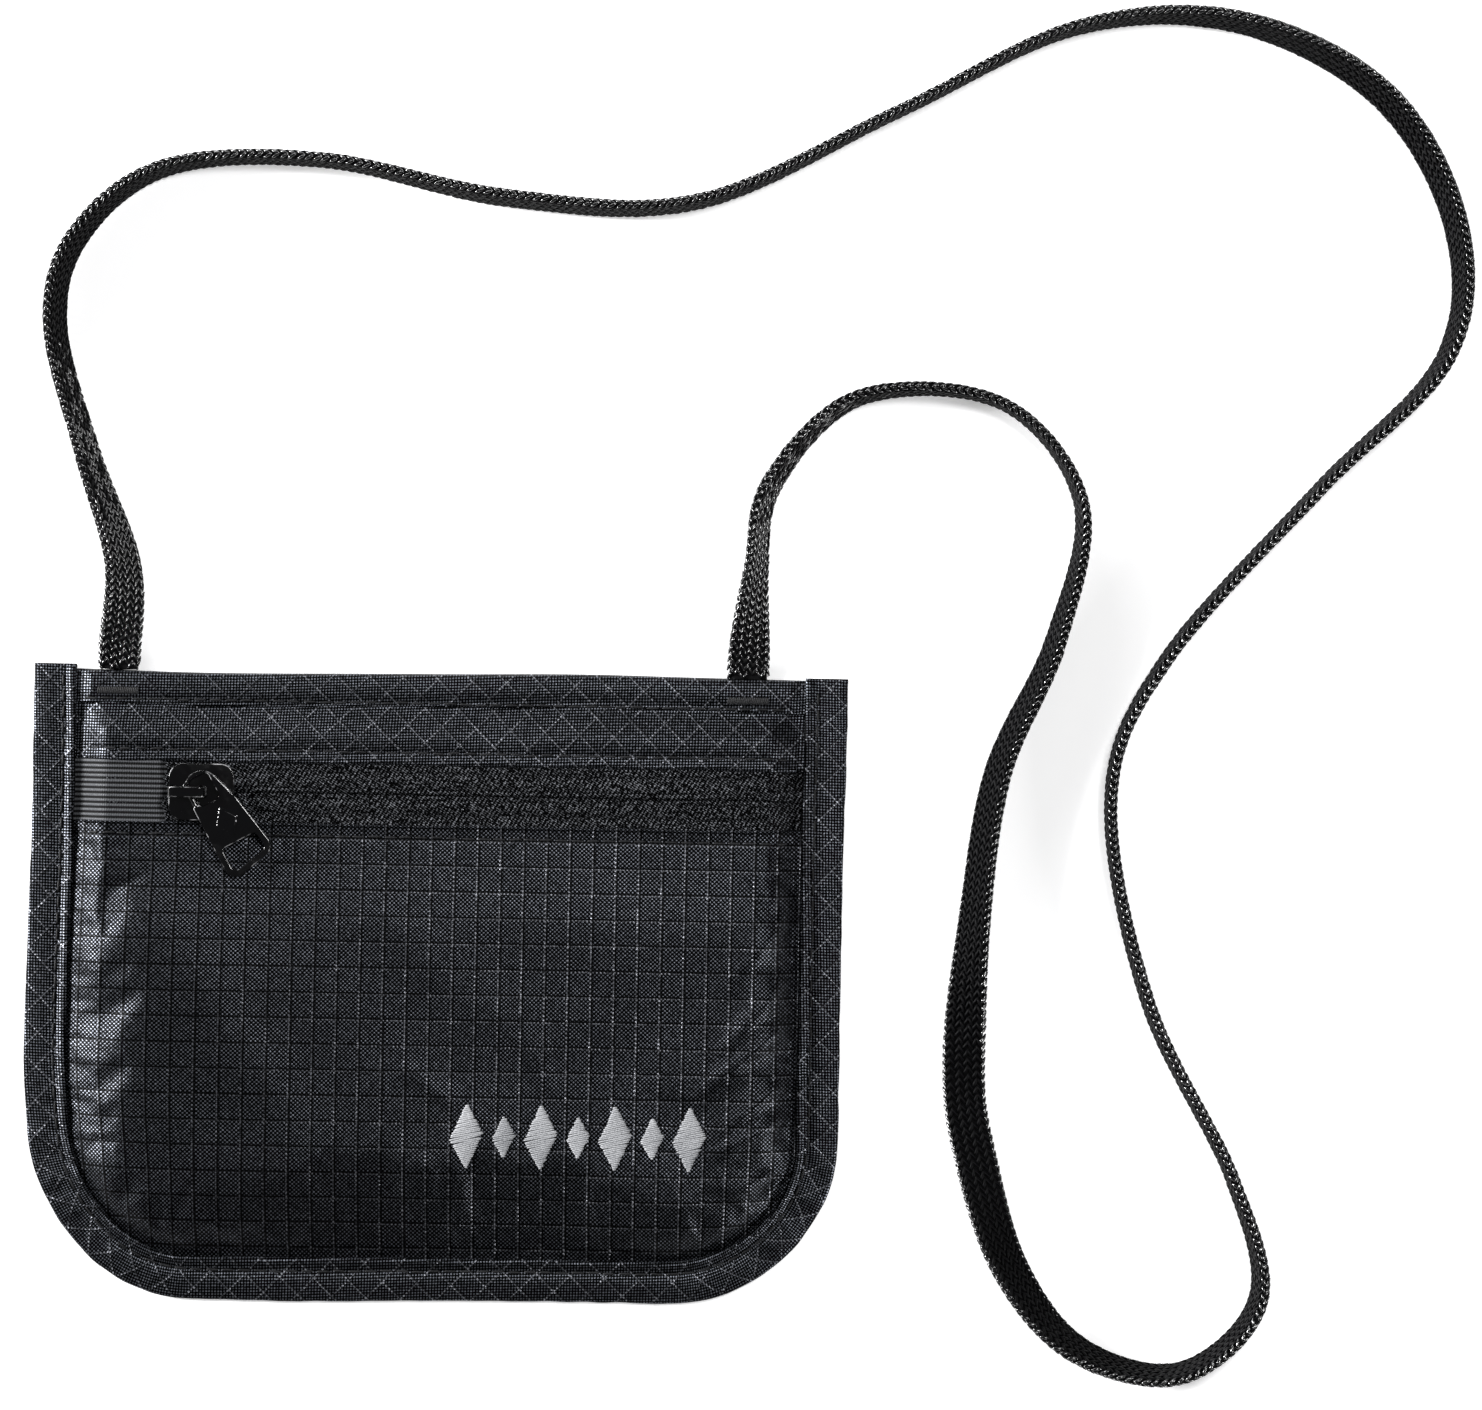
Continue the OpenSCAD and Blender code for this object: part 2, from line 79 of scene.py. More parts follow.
HALF_W = SIDE_HI[0]
BOTTOM_Y = SIDE_LO[1]
TOP_Y = TOP_HI[1]
BINDING_Y = TOP_LO[1]
PANEL_Y = PANEL_HI[1]
STRIP_Y = STRIP_LO[1]
ZIP_Y = (UPPER_LO[1] + LOWER_HI[1]) / 2
FACE_Z = PANEL_HI[2]
TAPE_Z = UPPER_HI[2]
CORNER_R = 28.0
BINDING_W = 7.4
SLOPE_IN = BINDING_W + 0.2  # where the front starts to rise, in from the outline
SLOPE_W = 6.0
FLANGE_Z = 1.3
SEAM_Z = 2.6
SIDE_STITCH_IN = 5.2
TOP_STITCH_Y = 48.35
EDGE_STITCH = 1.8  # from a folded edge to its stitching
HEM = 2.6  # cloth turned under at a folded edge
GRID_U, GRID_V = 3.98, 4.42  # pitch of the ripstop's doubled threads
LATTICE = 97
RAY_FROM = 0.03  # metres, above everything


# ---- numbers and fields
def rise(t):
    """A smooth step from 0 to 1."""
    return (1 - np.cos(PI * np.clip(t, 0, 1))) / 2


def bump(t):
    """A smooth hill, 1 at 0 and 0 beyond 1."""
    return (1 + np.cos(PI * np.clip(np.abs(t), 0, 1))) / 2


def soft_noise(x, y, size, seed):
    """Smooth noise from -1 to 1 with features about `size` across."""
    rng = np.random.default_rng(seed)
    lattice = rng.uniform(-1, 1, (LATTICE, LATTICE))
    u, v = np.asarray(x, float) / size + 41.3, np.asarray(y, float) / size + 37.7
    iu, iv = np.floor(u).astype(int), np.floor(v).astype(int)
    fu, fv = u - iu, v - iv
    fu, fv = fu * fu * (3 - 2 * fu), fv * fv * (3 - 2 * fv)
    i, k, j, m = iu % LATTICE, (iu + 1) % LATTICE, iv % LATTICE, (iv + 1) % LATTICE
    a, b, c, d = lattice[i, j], lattice[k, j], lattice[i, m], lattice[k, m]
    return (a * (1 - fu) + b * fu) * (1 - fv) + (c * (1 - fu) + d * fu) * fv


def inset(x, y):
    """Distance of a point inside the pouch's rounded outline."""
    x, y = np.abs(np.asarray(x, float)), np.asarray(y, float)
    qx, qy = x - (HALF_W - CORNER_R), BOTTOM_Y + CORNER_R - y
    corner = CORNER_R - np.hypot(np.maximum(qx, 0), np.maximum(qy, 0))
    return np.where((qx > 0) & (qy > 0), corner, np.minimum(HALF_W - x, y - BOTTOM_Y))


def ridge(x, y, ax, ay, bx, by, height, width):
    """A crease from a to b, sharp along its line and fading at both ends."""
    dx, dy = bx - ax, by - ay
    length = math.hypot(dx, dy)
    along = ((x - ax) * dx + (y - ay) * dy) / length / length
    off = ((x - ax) * dy - (y - ay) * dx) / length
    fade = rise(along / 0.18) * rise((1 - along) / 0.45)
    return height * fade / (1 + (off / width) ** 2) ** 1.5


def warp(p):
    """The hand-sewn outline: a fuller left side, a rounder left corner and a squarer right one."""
    x, y = p[:, 0], p[:, 1]
    left = rise((-x - 25) / 35)
    p = p.copy()
    p[:, 0] -= 0.8 * left * bump((y + 14) / 50) + 0.8 * rise((-x - 30) / 40)
    p[:, 0] += 0.4 * rise((x - 30) / 40) * rise((y - 20) / 30)
    lx = bump(np.hypot(x + 64, y + 40) / 28)
    rx = bump(np.hypot(x - 61, y + 47) / 26)
    p[:, 0] += 1.5 * lx - 0.5 * rx
    p[:, 1] += 0.2 * lx + 0.5 * rx
    p[:, 1] -= 0.7 * rise((-40 - y) / 14) * bump((x + 30) / 45)
    p[:, 1] += rise((y - 35) / 14) * (0.5 * bump((x - 28) / 38) - 0.4 * bump((x + 35) / 32))
    return p


# ---- materials
class Nodes:
    """Builds one procedural material. Where a method makes a node, it returns an output."""

    def __init__(self, name):
        self.mat = bpy.data.materials.new(name)
        self.mat.use_nodes = True
        self.tree = self.mat.node_tree
        self.tree.nodes.clear()
        out = self.new("OutputMaterial")
        self.shader = self.new("BsdfPrincipled")
        self.put(out.inputs["Surface"], self.shader.outputs[0])

    def put(self, socket, value):
        """Links a socket to an output, or sets its value."""
        if isinstance(value, bpy.types.NodeSocket):
            self.tree.links.new(value, socket)
        else:
            socket.default_value = value

    def fill(self, node, inputs):
        """Sets or links a node's inputs by name, with _ for a space."""
        for key, value in inputs.items():
            self.put(node.inputs[key.replace("_", " ")], value)
        return node

    def new(self, kind, **inputs):
        return self.fill(self.tree.nodes.new("ShaderNode" + kind), inputs)

    def set(self, **inputs):
        self.fill(self.shader, inputs)

    def math(self, op, a, b=0.0, c=0.0):
        node = self.new("Math")
        node.operation = op
        for socket, value in zip(node.inputs, (a, b, c)):
            self.put(socket, value)
        return node.outputs[0]

    def times(self, a, b):
        return self.math("MULTIPLY", a, b)

    def plus(self, a, b):
        return self.math("ADD", a, b)

    def linear(self, value, slope, start):
        """value * slope + start"""
        return self.math("MULTIPLY_ADD", value, slope, start)

    def span(self, value, lo, hi, to_lo=0.0, to_hi=1.0):
        """Smooth step of a value from lo..hi to to_lo..to_hi."""
        node = self.new("MapRange", Value=value, From_Min=lo, From_Max=hi,
                        To_Min=to_lo, To_Max=to_hi)
        node.interpolation_type = "SMOOTHSTEP"
        return node.outputs["Result"]

    def place(self):
        """The object's own coordinates, in millimetres."""
        scale = self.new("VectorMath")
        scale.operation = "SCALE"
        self.put(scale.inputs[0], self.new("TexCoord").outputs["Object"])
        self.put(scale.inputs["Scale"], 1 / MM)
        return scale.outputs[0]

    def weave(self):
        """The mesh's thread coordinates, in millimetres."""
        node = self.new("Attribute")
        node.attribute_name = "weave"
        return node.outputs["Vector"]

    def split(self, vector):
        return self.new("SeparateXYZ", Vector=vector).outputs

    def noise(self, vector, scale, detail=2.0, rough=0.5):
        node = self.new("TexNoise", Vector=vector, Scale=scale, Detail=detail, Roughness=rough)
        return node.outputs["Fac"]

    def stretch(self, vector, u, v):
        """Scales thread coordinates, to draw noise out along one thread direction."""
        node = self.new("VectorMath")
        node.operation = "MULTIPLY"
        self.put(node.inputs[0], vector)
        self.put(node.inputs[1], (u, v, 1))
        return node.outputs[0]

    def wave(self, value, period, phase=0.0):
        """A sine of a coordinate, from -1 to 1."""
        return self.math("SINE", self.linear(value, 2 * PI / period, phase))

    def line(self, value, pitch, half):
        """1 on lines that repeat every pitch, 0 elsewhere."""
        off = self.math("PINGPONG", value, pitch / 2)
        return self.span(off, half, half * 0.35)

    def mix(self, share, a, b):
        """Colour a where share is 0, b where it is 1."""
        node = self.new("Mix")
        node.data_type = "RGBA"
        for k, value in ((0, share), (6, a), (7, b)):
            self.put(node.inputs[k], (*value, 1) if isinstance(value, tuple) else value)
        return node.outputs[2]

    def relief(self, height, distance, strength):
        """Bump from a height, with its depth in millimetres."""
        bump_node = self.new("Bump", Strength=strength, Distance=distance * MM, Height=height)
        self.set(Normal=bump_node.outputs[0])


def ripstop(name, tone, roughness, line_u, line_v, groove_shade):
    """Nylon ripstop: a fine plain weave with doubled threads in a grid. Rising threads and the grid
    lines are coloured light as painted sheen, and a dark band beside each grid line is painted
    shade.
    """
    n = Nodes(name)
    at = n.weave()
    u, v, _ = n.split(at)
    weave = n.times(n.wave(u, 0.74), n.wave(v, 0.7))
    dots_u = n.span(n.wave(v, 0.74), -0.15, 0.85, 0.08, 1.0)
    dots_v = n.span(n.wave(u, 0.62), -0.1, 0.85, 0.05, 1.0)
    broken = n.span(n.noise(at, 0.55, 3.0), 0.38, 0.66)
    # painted sheen: the grid's doubled threads are coloured light, fading towards low u
    warp_line = n.times(n.line(n.plus(u, 0.26), GRID_U, 0.17), dots_u)
    weft_line = n.times(n.line(n.plus(v, 0.26), GRID_V, 0.17), dots_v)
    # painted shade: a dark band beside each grid line
    beside = n.math("MAXIMUM", n.line(u, GRID_U, 0.3), n.line(v, GRID_V, 0.28))
    lines = n.plus(n.times(warp_line, line_u), n.times(weft_line, line_v))
    lines = n.times(lines, n.linear(broken, 0.8, 0.2))
    lines = n.times(lines, n.span(u, -45.0, 25.0, 0.25, 1.0))
    shade = n.linear(n.noise(at, 0.035, 3.0, 0.6), 0.7, 0.6)
    slub_u = n.span(n.noise(n.stretch(at, 0.22, 1.0), 2.2, 2.0, 0.6), 0.3, 0.72, 0.25, 1.0)
    slub_v = n.span(n.noise(n.stretch(at, 1.0, 0.22), 2.4, 2.0, 0.6), 0.3, 0.72, 0.25, 1.0)
    slub = n.math("MAXIMUM", n.times(slub_u, 0.9), slub_v)
    grain = n.noise(at, 1.9, 2.0, 0.6)
    # painted sheen: threads are coloured lighter where they rise
    raised = n.span(n.plus(grain, n.times(weave, 0.8)), 0.5, 1.15)
    thread = n.times(n.times(raised, slub), shade)
    # painted shade: the threads beside the grid lines are darkened
    thread = n.times(thread, n.linear(beside, -groove_shade, 1.0))
    body = n.mix(thread, tuple(0.12 * c for c in tone), tuple(90.0 * c for c in tone))
    n.set(Base_Color=n.mix(lines, body, (0.4, 0.41, 0.45)), Metallic=0.8,
          Roughness=n.linear(grain, 0.1, roughness - 0.05), Specular_IOR_Level=0.1)
    n.relief(n.linear(weave, 0.5, n.times(lines, 1.3)), 0.06, 0.9)
    return n.mat


def knit_tape(name):
    """The knitted zip tape: small uneven loops in columns along the zip, their tops coloured light
    as painted sheen.
    """
    n = Nodes(name)
    at = n.place()
    x, y, _ = n.split(at)
    jitter = n.linear(n.noise(at, 1.3, 2.0), 1.6, -0.8)
    loops = n.times(n.wave(n.plus(x, n.times(y, 0.55)), 0.72),
                   n.wave(n.plus(y, n.times(jitter, 0.1)), 0.62))
    grain = n.noise(at, 2.5, 2.0, 0.7)
    height = n.plus(n.times(loops, 0.26), n.times(grain, 1.6))
    # painted sheen: the tops of the loops are coloured light
    lit = n.span(height, 0.8, 1.25)
    n.set(Base_Color=n.mix(lit, (0.0001, 0.0001, 0.0002), (0.15, 0.156, 0.17)), Metallic=0.8,
          Roughness=n.linear(lit, -0.2, 0.6), Specular_IOR_Level=0.06)
    n.relief(height, 0.08, 0.9)
    return n.mat


def yarn(name, colour_lo, colour_hi, rough, fibre, depth, sheen, gloss):
    """Twisted or filament yarn: fine uneven fibres in colour and relief."""
    n = Nodes(name)
    at = n.place()
    fine = n.noise(at, fibre, 3.0, 0.65)
    slow = n.noise(at, 0.12, 2.0)
    share = n.span(n.linear(slow, 0.4, n.times(fine, 0.8)), 0.35, 0.85)
    n.set(Base_Color=n.mix(share, colour_lo, colour_hi), Roughness=n.linear(fine, 0.2, rough - 0.1),
          Sheen_Weight=sheen, Sheen_Roughness=0.4, Specular_IOR_Level=gloss)
    n.relief(fine, depth, 0.8)
    return n.mat


def grosgrain(name):
    """Ribbed ribbon: fine warp threads across the ribs, with the rib crests coloured light as
    painted sheen and the gaps between them dark as painted shade.
    """
    n = Nodes(name)
    at = n.place()
    x, y, _ = n.split(at)
    threads = n.wave(n.plus(x, n.times(n.wave(y, 0.8), 0.05)), 0.42)
    # painted sheen on the rib crests, painted shade in the gaps between them
    crest = n.span(n.split(n.weave())[2], 0.55, 1.0)
    grain = n.noise(at, 3.1, 2.0)
    share = n.times(crest, n.linear(grain, 0.9, 0.35))
    n.set(Base_Color=n.mix(share, (0.0002, 0.0002, 0.0003), (0.075, 0.078, 0.085)),
          Roughness=n.linear(share, -0.4, 0.8), Specular_IOR_Level=0.15)
    n.relief(n.linear(threads, 0.4, grain), 0.05, 0.8)
    return n.mat


def enamel(name):
    """Glossy black lacquer on die-cast metal, with faint orange peel and patches of light grey on
    its sharper edges as painted highlights.
    """
    n = Nodes(name)
    at = n.place()
    peel = n.noise(at, 0.3, 3.0, 0.4)
    fine = n.noise(at, 6.0, 3.0, 0.6)
    edge = n.span(n.new("NewGeometry").outputs["Pointiness"], 0.51, 0.55)
    # painted highlight: light grey on patches of the sharper edges
    edge_highlight = n.times(edge, n.span(n.noise(at, 0.45, 2.0), 0.5, 0.62))
    smudge = n.span(n.noise(at, 0.2, 2.0), 0.5, 0.62, 0.05, 0.2)
    n.set(Base_Color=n.mix(edge_highlight, (0.001, 0.001, 0.0013), (0.4, 0.4, 0.41)),
          Roughness=n.linear(fine, 0.06, smudge), Coat_Weight=0.6, Coat_Roughness=0.06,
          Specular_IOR_Level=0.35)
    n.relief(peel, 0.5, 0.8)
    return n.mat


def plastic(name):
    """Extruded nylon coil: smooth with slight draw lines."""
    n = Nodes(name)
    at = n.place()
    lines = n.noise(at, 4.0, 2.0)
    n.set(Base_Color=n.mix(lines, (0.004, 0.004, 0.005), (0.012, 0.012, 0.014)),
          Roughness=n.linear(lines, 0.15, 0.22), Specular_IOR_Level=0.6)
    n.relief(lines, 0.02, 0.5)
    return n.mat


# Two copies of one ripstop: the bias-cut one is coloured about a fifth lighter, a lit copy of the
# same cloth.
CLOTH = ripstop("ripstop_straight", (0.0016, 0.00171, 0.00198), 0.4, 0.72, 0.4, 0.9)
BIAS_LIT = ripstop("ripstop_bias", (0.0019, 0.00203, 0.00234), 0.42, 0.65, 0.65, 0.45)
TAPE = knit_tape("zip_tape_knit")
RIBBON = grosgrain("grosgrain_ribbon")
THREAD = yarn("sewing_thread", (0.0015, 0.0015, 0.002), (0.014, 0.0145, 0.016),
              rough=0.5, fibre=3.5, depth=0.03, sheen=0.0, gloss=0.18)
SATIN = yarn("embroidery_thread", (0.13, 0.135, 0.145), (0.4, 0.405, 0.42),
             rough=0.45, fibre=4.0, depth=0.04, sheen=0.1, gloss=0.5)
# Two copies of one cord yarn: a glossy, lighter one for the stitches that catch highlights, and a
# darker, dull one on the faces as painted shade.
CORD = yarn("cord_yarn", (0.0008, 0.0008, 0.001), (0.003, 0.003, 0.0036),
            rough=0.17, fibre=3.0, depth=0.002, sheen=0.0, gloss=1.0)
CORD_FACE_SHADED = yarn("cord_yarn_face_shaded", (0.0006, 0.0006, 0.0008), (0.002, 0.002, 0.0025),
                 rough=0.5, fibre=3.0, depth=0.004, sheen=0.0, gloss=0.06)
# The core is darker and duller than the yarn: painted shade between the stitches.
CORE_SHADE = yarn("cord_core", (0.0006, 0.0006, 0.0008), (0.0015, 0.0015, 0.002),
            rough=0.7, fibre=2.0, depth=0.05, sheen=0.0, gloss=0.08)
LACQUER = enamel("black_enamel")
COIL = plastic("coil_nylon")


# ---- mesh helpers
def show(obj):
    """Puts an object in the scene."""
    bpy.context.scene.collection.objects.link(obj)
    return obj


def piece(name, points, faces, material, weave=None, bend=True):
    """A mesh of the pouch from points in millimetres; bend gives it the hand-sewn outline."""
    points = np.asarray(points, float)
    if bend:
        points = warp(points)
    mesh = bpy.data.meshes.new(name)
    mesh.from_pydata((points * MM).tolist(), [], [list(f) for f in faces])
    mesh.update()
    if weave is not None:
        layer = mesh.attributes.new("weave", "FLOAT_VECTOR", "POINT")
        layer.data.foreach_set("vector", np.asarray(weave, np.float32).ravel())
    mesh.materials.append(material)
    mesh.polygons.foreach_set("use_smooth", [True] * len(mesh.polygons))
    obj = show(bpy.data.objects.new(name, mesh))
    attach(obj, "pouch")
    return obj


def grid_faces(rows, columns, close=False):
    """Quads of a rows x columns grid of points; close joins the last column to the first."""
    i, j = np.meshgrid(np.arange(rows - 1), np.arange(columns - 1 + close), indexing="ij")
    i, j = i.ravel() * columns, j.ravel()
    k = (j + 1) % columns
    return np.stack([i + j, i + k, i + columns + k, i + columns + j], 1)


def cloud(x, y, z):
    """Rows of x, y, z from three arrays of one shape."""
    return np.column_stack([x.ravel(), y.ravel(), z.ravel()])


def diagonal(x, y):
    """Thread coordinates of cloth cut on the bias."""
    return (x + y) / math.sqrt(2), (x - y) / math.sqrt(2)


def threads(u, v):
    """Thread coordinates for the weave attribute."""
    return cloud(u, v, 0 * u)


def bean(sides, rings, taper):
    """A rounded grain along x from -0.5 to 0.5, with radius 0.5; returns its points and faces."""
    points, faces = [[-0.5, 0, 0]], []
    for r in range(rings):
        t = (r + 0.5) / rings
        radius = 0.5 * math.sin(PI * t) ** taper
        for s in range(sides):
            a = 2 * PI * s / sides
            points.append([-0.4995 * math.cos(PI * t), radius * math.cos(a), radius * math.sin(a)])
    points.append([0.5, 0, 0])
    last = len(points) - 1
    for s in range(sides):
        k = (s + 1) % sides
        faces.append([0, 1 + k, 1 + s])
        faces.append([last, last - sides + s, last - sides + k])
        for r in range(rings - 1):
            a, b = 1 + r * sides, 1 + (r + 1) * sides
            faces.append([a + s, a + k, b + k, b + s])
    return np.array(points), faces


def grains(centres, along, across, up, size, shape):
    """Copies of a bean: one for each centre, with its axes and its (length, width, height)."""
    template, faces = shape
    size = np.broadcast_to(np.asarray(size, float), (len(centres), 3))
    points = centres[:, None, :]
    for k, axis in enumerate((along, across, up)):
        points = points + axis[:, None, :] * (template[None, :, k:k + 1] * size[:, None, k:k + 1])
    n = len(template)
    all_faces = [[v + n * i for v in f] for i in range(len(centres)) for f in faces]
    return points.reshape(-1, 3), all_faces


def unit(v):
    """Vectors scaled to length 1."""
    return v / np.maximum(np.linalg.norm(v, axis=-1, keepdims=True), 1e-9)


# ---- camera, floor and light
CAMERA_AT = (0.0518, 0.0491)
CAMERA_Z = 0.9
FRAME_W = 0.2558  # metres across the picture, at the height FRAME_Z
FRAME_Z = 0.005
SENSOR = 36

camera_data = bpy.data.cameras.new("camera")
camera_data.sensor_width = SENSOR
camera_data.lens = SENSOR * (CAMERA_Z - FRAME_Z) / FRAME_W
camera_data.clip_start = 0.01
camera = show(bpy.data.objects.new("camera", camera_data))
camera.location = (*CAMERA_AT, CAMERA_Z)
camera.rotation_euler = (0, 0, math.radians(1))
bpy.context.scene.camera = camera


# ---- the neck cord
CORD_W = 7.5
CORD_T = 1.8
CORD_LIFT = 0.1
COURSE = 1.43  # one stitch along the cord
WALES = 10  # stitches round it
ROUTE = [  # x, y and roll in degrees
    (-56, 53.5, 0), (-56, 57, 8), (-55.6, 72, 42), (-62, 91, 65), (-67.9, 113, 70),
    (-64, 128.5, 74), (-49, 140.3, 82), (-22, 142, 85), (10, 136, 80), (43, 136, 84),
    (77, 152, 89), (108, 167.2, 86), (136, 168.6, 74), (161, 156.4, 64), (174, 134, 70),
    (172.4, 111, 77), (151, 88, 84), (125, 58, 85), (116, 34, 88), (123, -1, 85), (138, -31, 85),
    (143, -52, 78), (130, -65, 74), (112, -61.4, 60), (100, -47.4, 32), (93.4, -27, 4),
    (91.5, -13, -4), (92.7, 11, -46), (96.4, 38, -58), (106, 61, -70), (110, 85, -83),
    (96, 102, -88), (71.5, 102.6, -80), (56.6, 87.6, -68), (54, 72, -60), (53, 57, -8),
    (53, 53.5, 0),
]


def catmull(points, steps):
    """A smooth curve through the points, sampled `steps` times between each pair."""
    p = np.array([points[0], *points, points[-1]], float)
    t = (np.arange(steps) / steps)[:, None]
    out = []
    for i in range(1, len(p) - 2):
        a, b, c, d = p[i - 1], p[i], p[i + 1], p[i + 2]
        out.append(0.5 * (2 * b + (c - a) * t + (2 * a - 5 * b + 4 * c - d) * t**2
                          + (3 * b - a - 3 * c + d) * t**3))
    return np.vstack([*out, p[-1][None]])


def resample(curve, step):
    """Points a fixed distance apart along a curve whose first columns are x, y, z."""
    gaps = np.linalg.norm(np.diff(curve[:, :3], axis=0), axis=1)
    run = np.concatenate([[0], np.cumsum(gaps)])
    at = np.linspace(0, run[-1], max(int(round(run[-1] / step)), 2) + 1)
    return np.stack([np.interp(at, run, curve[:, k]) for k in range(curve.shape[1])], 1), run[-1]


def cord_curve():
    """The cord's centre line with its roll in radians: columns x, y, z, roll."""
    fine = catmull(ROUTE, 24)
    roll = np.radians(fine[:, 2])
    z = (CORD_W - CORD_T) / 2 * np.abs(np.sin(roll)) + CORD_T / 2 + CORD_LIFT
    return np.stack([fine[:, 0], fine[:, 1], z, roll], 1)


def cord_axes(line):
    """Unit vectors along, across the flat and through it, at each point of a rolled line."""
    along = unit(np.gradient(line[:, :2], axis=0))
    along[0], along[-1] = (0, 1), (0, -1)
    roll = line[:, 3]
    tx, ty, cos, sin = along[:, 0], along[:, 1], np.cos(roll), np.sin(roll)
    across, through = cloud(-ty * cos, tx * cos, sin), cloud(ty * sin, -tx * sin, cos)
    return unit(np.gradient(line[:, :3], axis=0)), across, through


def flat_ring(u, width, thick):
    """A point and outward normal on a flat tube's section, for u round it from 0 to 1."""
    straight = width - thick
    arc = PI * thick / 2
    run = (u % 1) * 2 * (straight + arc)
    r = thick / 2
    x, y, nx, ny = (np.zeros_like(run) for _ in range(4))
    lo = 0.0
    for end in (1, -1):
        m = (run >= lo) & (run < lo + straight)
        x[m], y[m], nx[m], ny[m] = end * (run[m] - lo - straight / 2), end * r, 0, end
        lo += straight
        m = (run >= lo) & (run < (lo + arc if end > 0 else np.inf))
        a = end * PI / 2 - (run[m] - lo) / r
        nx[m], ny[m] = np.cos(a), np.sin(a)
        x[m], y[m] = end * straight / 2 + r * nx[m], r * ny[m]
        lo += arc
    return x, y, nx, ny


def tube(name, line, width, thick, material):
    """A closed flat tube along a rolled line."""
    _, across, through = cord_axes(line)
    sides = 20
    u = np.arange(sides) / sides
    x, y, _, _ = flat_ring(u, width, thick)
    rings = (line[:, None, :3] + across[:, None, :] * x[None, :, None]
             + through[:, None, :] * y[None, :, None])
    points = rings.reshape(-1, 3)
    faces = grid_faces(len(line), sides, close=True).tolist()
    faces += [list(range(sides)), [len(points) - 1 - k for k in range(sides)]]
    return piece(name, points, faces, material, bend=False)


def stitches_round(line, length, width, thick, wales):
    """Knit stitches round a flat tube: two slanting legs for each stitch of each wale."""
    axes = cord_axes(line)
    run = np.linspace(0, length, len(line))
    courses = int(length / COURSE)
    rng = np.random.default_rng(7)
    centres, ax, cx, ux, sizes, highlight_flags = [], [], [], [], [], []
    for w in range(wales):
        for side in (-1, 1):
            s = (np.arange(courses) + 0.5 + 0.5 * (w % 2)) * COURSE
            s = np.minimum(s + rng.normal(0, 0.05, courses), length - 0.2)
            u = (w + 0.38 + side * 0.235) / wales + rng.normal(0, 0.05, courses) / wales / 2
            x, y, nx, ny = flat_ring(u, width, thick)
            p, t, a, n = (np.stack([np.interp(s, run, v[:, k]) for k in range(3)], 1)
                          for v in (line, *axes))
            t, a, n = unit(t), unit(a), unit(n)
            out = unit(a * nx[:, None] + n * ny[:, None])
            round_it = np.cross(out, t)
            lean = np.radians(31 + rng.normal(0, 4, courses))[:, None] * side
            leg = unit(t * np.cos(lean) - round_it * np.sin(lean))
            centres.append(p + a * x[:, None] + n * y[:, None])
            ax.append(leg)
            ux.append(unit(out + leg * 0.24))
            cx.append(np.cross(ux[-1], leg))
            near_seam = rng.uniform(22, 62, courses)  # where the gloss begins, stitch by stitch
            # lit and shaded copies of one yarn: the edge wales and the stitches near the ends get
            # the glossy copy, the rest the darker, dull copy as painted shade
            catches_highlight = (w % 5 == 4) | (s < near_seam) | (s > length - near_seam)
            size = np.where(catches_highlight[:, None], [1.85, 0.62, 0.5], [1.9, 0.68, 0.74])
            sizes.append(size * rng.normal(1, 0.04, (courses, 1)))
            highlight_flags.append(catches_highlight[:, None])
    stack = [np.vstack(v) for v in (centres, ax, cx, ux, sizes, highlight_flags)]
    order = np.argsort(np.tile(np.arange(courses), wales * 2), kind="stable")
    return [v[order] for v in stack]


cord_line, cord_length = resample(cord_curve(), 0.7)
# the core under the stitches is coloured darker than the yarn, painted shade between the stitches
cord_core = tube("neck_cord_core", cord_line, CORD_W - 1.0, CORD_T - 0.8, CORE_SHADE)
knit = stitches_round(cord_line, cord_length, CORD_W - 0.55, CORD_T - 0.6, WALES)
LEG = bean(6, 4, 0.8)
# the stitches with the glossy, lit copy of the yarn; the rest get the darker, dull copy as painted
# shade
highlight_stitches = knit[5][:, 0]
groups = [("neck_cord_knit_edge", CORD, np.nonzero(highlight_stitches)[0])]
for part, chosen in enumerate(np.array_split(np.nonzero(~highlight_stitches)[0], 3)):
    groups.append((f"neck_cord_knit_face_{part + 1}", CORD_FACE_SHADED, chosen))
for name, material, chosen in groups:
    points, faces = grains(*(column[chosen] for column in knit[:5]), LEG)
    piece(name, points, faces, material, bend=False)
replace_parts(cord_core, "neck_cord")

# the sewn-in ends, pressed flat inside the seam
for side, node in (("left", "cord_end_left"), ("right", "cord_end_right")):
    low, high = mm_box(node)
    middle = (low + high) / 2
    ys = np.linspace(low[1] + 0.1, high[1], 28)
    line = np.stack([middle[0] + 0 * ys, ys, middle[2] + 0 * ys, 0 * ys], 1)
    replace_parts(tube(f"cord_tail_{side}", line, CORD_W - 0.9, 0.5, CORE_SHADE), node)


# ---- the cloth's shapes
def face_z(x):
    """Height of the front where the zip and its tapes are."""
    return FLANGE_Z + (FACE_Z - FLANGE_Z) * rise((HALF_W - np.abs(x) - SLOPE_IN) / SLOPE_W)


